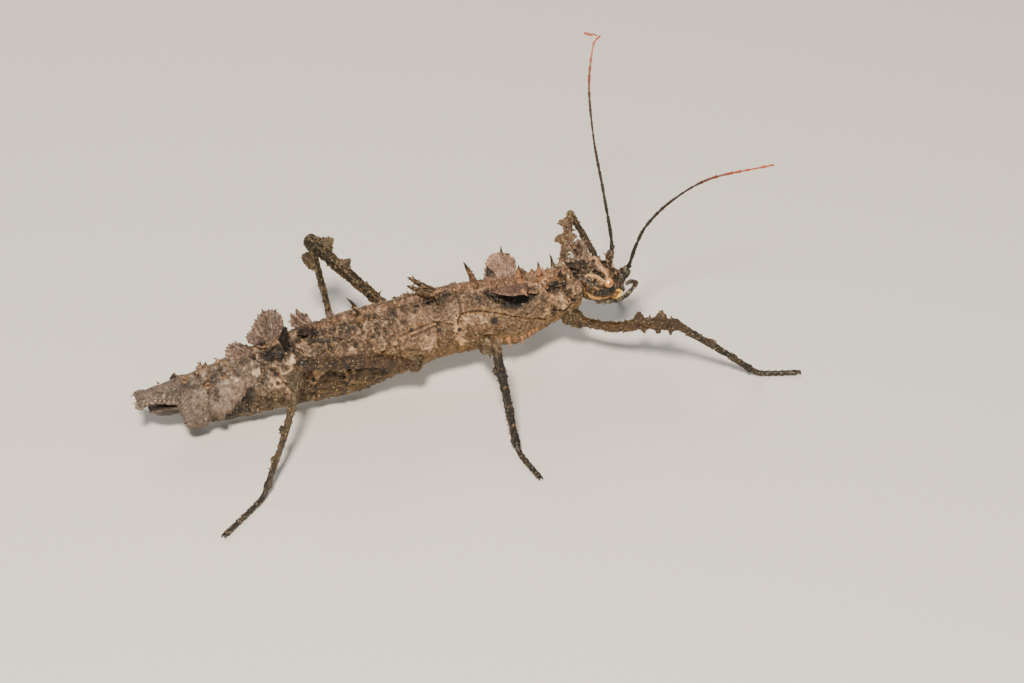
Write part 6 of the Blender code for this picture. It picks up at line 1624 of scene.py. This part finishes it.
for number, (name, joints) in enumerate(LEGS.items()):
    kind, label = name.split("_")
    side = SIDES[label]
    root, hip, knee, ankle = [np.array(point) for point in joints[:4]]
    toe = np.array([*joints[4], FOOT_HEIGHT])
    shift = 10.0 * number
    tint = LEG_TINTS[name]
    radii = FEMUR_RADII[name]
    up_side = unit([0.0, side * 0.25, 1.0])
    hip_points = [root, root + (hip - root) * 0.6, hip + (hip - root) * 0.05]
    bodies = [limb(hip_points, (0.95, 0.95, 0.86, 0.68), 56, 3, 0.0, shift, (0.12, 0.0, 0.03, 0.0), 0.20)]
    thigh_rise = leg_rise(hip, knee, UP, 0.0)
    ahead = unit(knee - hip)
    sag = FEMUR_SAG.get(name, FEMUR_SAG.get(kind))
    thigh = [hip, hip + (knee - hip) * 0.35 + thigh_rise * sag, hip + (knee - hip) * 0.7, knee - ahead * 0.1]
    bodies.append(limb(thigh, radii, 44, 4, 0.05, shift + 2.0, tint, end_dark=0.40))
    bodies += ornaments(thigh, radii, up_side, FEMUR_LOBES[name], FEMUR_TEETH[name], draw, 60, tint, True)
    outer = unit(knee - hip)
    shin = [knee - unit(ankle - knee) * 0.15, knee + (ankle - knee) * 0.5 + outer * SHIN_BOW[kind], ankle]
    radii = TIBIA_RADII[name]
    tint = SHIN_TINTS.get(name, tint)
    bodies.append(limb(shin, radii, 36, 4, 0.05, shift + 4.0, tint, 0.22, 0.55, LEG_TINTS[name]))
    bodies += ornaments(shin, radii, outer, TIBIA_LOBES[name], TIBIA_TEETH[name], draw, 30, tint, False)
    leg = make_piece("leg_skin_" + name, bodies, leg_chitin,
                     ("coxa_" + name, "femur_" + name, "tibia_" + name))
    strew("leg_grains_" + name, leg, leg_grains, 8.0, 0.055, number + 20)

    # Foot: five short padded joints that lie on the floor, the last with two curved claws
    ahead = toe - ankle
    ahead[2] = 0.0
    ahead = unit(ahead)
    level = np.array([1.0, 1.0, 0.0])
    foot = curve_through([
        ankle + unit(knee - ankle) * 0.1, ankle * level + ahead * 0.9 + UP * (FOOT_HEIGHT + 0.12),
        (ankle + toe) / 2 * level + UP * FOOT_HEIGHT, toe], 0.05)
    run = np.concatenate([[0], np.cumsum(np.linalg.norm(np.diff(foot, axis=0), axis=1))])
    share = run / run[-1]
    joint_spots = (0.34, 0.49, 0.62, 0.74)
    waist = np.clip(sum(bell(share, spot, 0.016) for spot in joint_spots), 0, 1)
    pad = np.clip(sum(bell(share, spot - 0.035, 0.03) for spot in joint_spots + (0.99,)), 0, 1)
    girth = 0.29 * (1 - 0.30 * waist + 0.10 * pad)
    girth[:3] *= (0.5, 0.8, 0.95)
    girth[-4:] *= (0.95, 0.85, 0.65, 0.3)
    grid = rod_grid(foot, girth, 24)
    high = wrinkle(grid.reshape(-1, 3), 0.22, shift + 8.0).reshape(grid.shape[:2])
    grid = foot[:, None] + (grid - foot[:, None]) * (1 + 0.12 * high[..., None])
    grid[..., 2] = np.maximum(grid[..., 2], 0.012)
    tone = np.zeros((*grid.shape[:2], 4))
    tone[..., 0] = 0.5 * high + 0.1
    tone[..., 3] = (0.5 * waist)[:, None]
    bodies = [closed_body(grid, tone)]
    across = np.cross(ahead, UP)
    claws = []
    for turn in (1, -1):
        base = toe - ahead * 0.20 + across * (turn * 0.08) + UP * 0.04
        claws.append(shaft([base, base + ahead * 0.30 + across * (turn * 0.06) + UP * 0.06,
                            base + ahead * 0.48 + across * (turn * 0.09) - UP * 0.03,
                            base + ahead * 0.54 + across * (turn * 0.10) - UP * 0.15],
                           [0.13, 0.11, 0.07, 0.015], 12, 0.02, 0.6))
    make_piece("foot_" + name, bodies, foot_chitin, ("tarsus_" + name,))
    make_piece("claws_" + name, claws, claw_horn)

# Studio
# A pale matt floor, one broad soft lamp from the camera's upper left and two weaker fills.
floor_mesh = bpy.data.meshes.new("floor")
FLOOR_HALF = 1.5
floor_mesh.from_pydata([(-FLOOR_HALF, -FLOOR_HALF, 0), (FLOOR_HALF, -FLOOR_HALF, 0),
                        (FLOOR_HALF, FLOOR_HALF, 0), (-FLOOR_HALF, FLOOR_HALF, 0)], [], [(0, 1, 2, 3)])
floor = bpy.data.objects.new("floor", floor_mesh)
bpy.context.scene.collection.objects.link(floor)
paper = bpy.data.materials.new("matt_pale_paper")
paper.use_nodes = True
tree = paper.node_tree
place = add(tree, "ShaderNodeTexCoord").outputs["Object"]
fibre = add(tree, "ShaderNodeTexNoise", {"Vector": place, "Scale": 1 / (0.6 * MM), "Detail": 4.0})
tint = add(tree, "ShaderNodeMix", {0: fibre.outputs["Fac"], 6: srgb("#dcdad3"), 7: srgb("#e4e2dc")},
           data_type="RGBA")
tree.links.new(tint.outputs[2], tree.nodes["Principled BSDF"].inputs["Base Color"])
tree.nodes["Principled BSDF"].inputs["Roughness"].default_value = 0.9
floor_mesh.materials.append(paper)

# Camera: long lens, looking down at the animal's right side from behind its middle
ELEVATION = math.radians(35.0)
HEADING = math.radians(16.05)
ROLL = math.radians(-2.0)
FOCAL_PIXELS = 3000.0
FRAME_WIDTH = 1024
FRAME_MIDDLE = np.array([512.0, 341.5])
AIM_PIXEL = np.array([400.0, 345.0])
AIM_POINT = np.array([0.0, 0.0, 5.0])
AIM_DISTANCE = 300.0
SENSOR = 36.0
view = np.array([math.sin(HEADING) * math.cos(ELEVATION), math.cos(HEADING) * math.cos(ELEVATION),
                 -math.sin(ELEVATION)])
level_right = np.array([math.cos(HEADING), -math.sin(HEADING), 0.0])
level_up = np.cross(level_right, view)
right = math.cos(ROLL) * level_right + math.sin(ROLL) * level_up
upward = -math.sin(ROLL) * level_right + math.cos(ROLL) * level_up
eye = AIM_POINT - AIM_DISTANCE * view
offset = FRAME_MIDDLE - AIM_PIXEL
forward = unit(view * FOCAL_PIXELS + right * offset[0] - upward * offset[1])
right = unit(np.cross(forward, upward))
upward = np.cross(right, forward)
spot = (eye - FOOTPRINT_MIDDLE) * MM
camera = bpy.data.objects.new("camera", bpy.data.cameras.new("camera"))
bpy.context.scene.collection.objects.link(camera)
camera.matrix_world = Matrix([[right[axis], upward[axis], -forward[axis], spot[axis]] for axis in range(3)]
                             + [[0.0, 0.0, 0.0, 1.0]])
camera.data.sensor_width = SENSOR
camera.data.lens = FOCAL_PIXELS / FRAME_WIDTH * SENSOR
camera.data.clip_start = 0.01
bpy.context.scene.camera = camera


def lamp(name, place, size, power, colour):
    data = bpy.data.lights.new(name, "AREA")
    data.size = size
    data.energy = power
    data.color = srgb(colour)[:3]
    item = bpy.data.objects.new(name, data)
    item.location = place
    item.rotation_euler = (-Vector(place)).to_track_quat("-Z", "Y").to_euler()
    bpy.context.scene.collection.objects.link(item)


lamp("key_lamp", (-0.10, -0.22, 0.30), 0.05, 2.7, "#fff0dc")
lamp("fill_lamp", (0.30, -0.20, 0.20), 0.25, 0.35, "#f6f4ee")
lamp("back_lamp", (-0.05, 0.35, 0.25), 0.15, 0.7, "#fff4e4")
world = bpy.data.worlds.new("studio")
world.use_nodes = True
world.node_tree.nodes["Background"].inputs["Color"].default_value = srgb("#e9ecef")
world.node_tree.nodes["Background"].inputs["Strength"].default_value = 0.25
bpy.context.scene.world = world
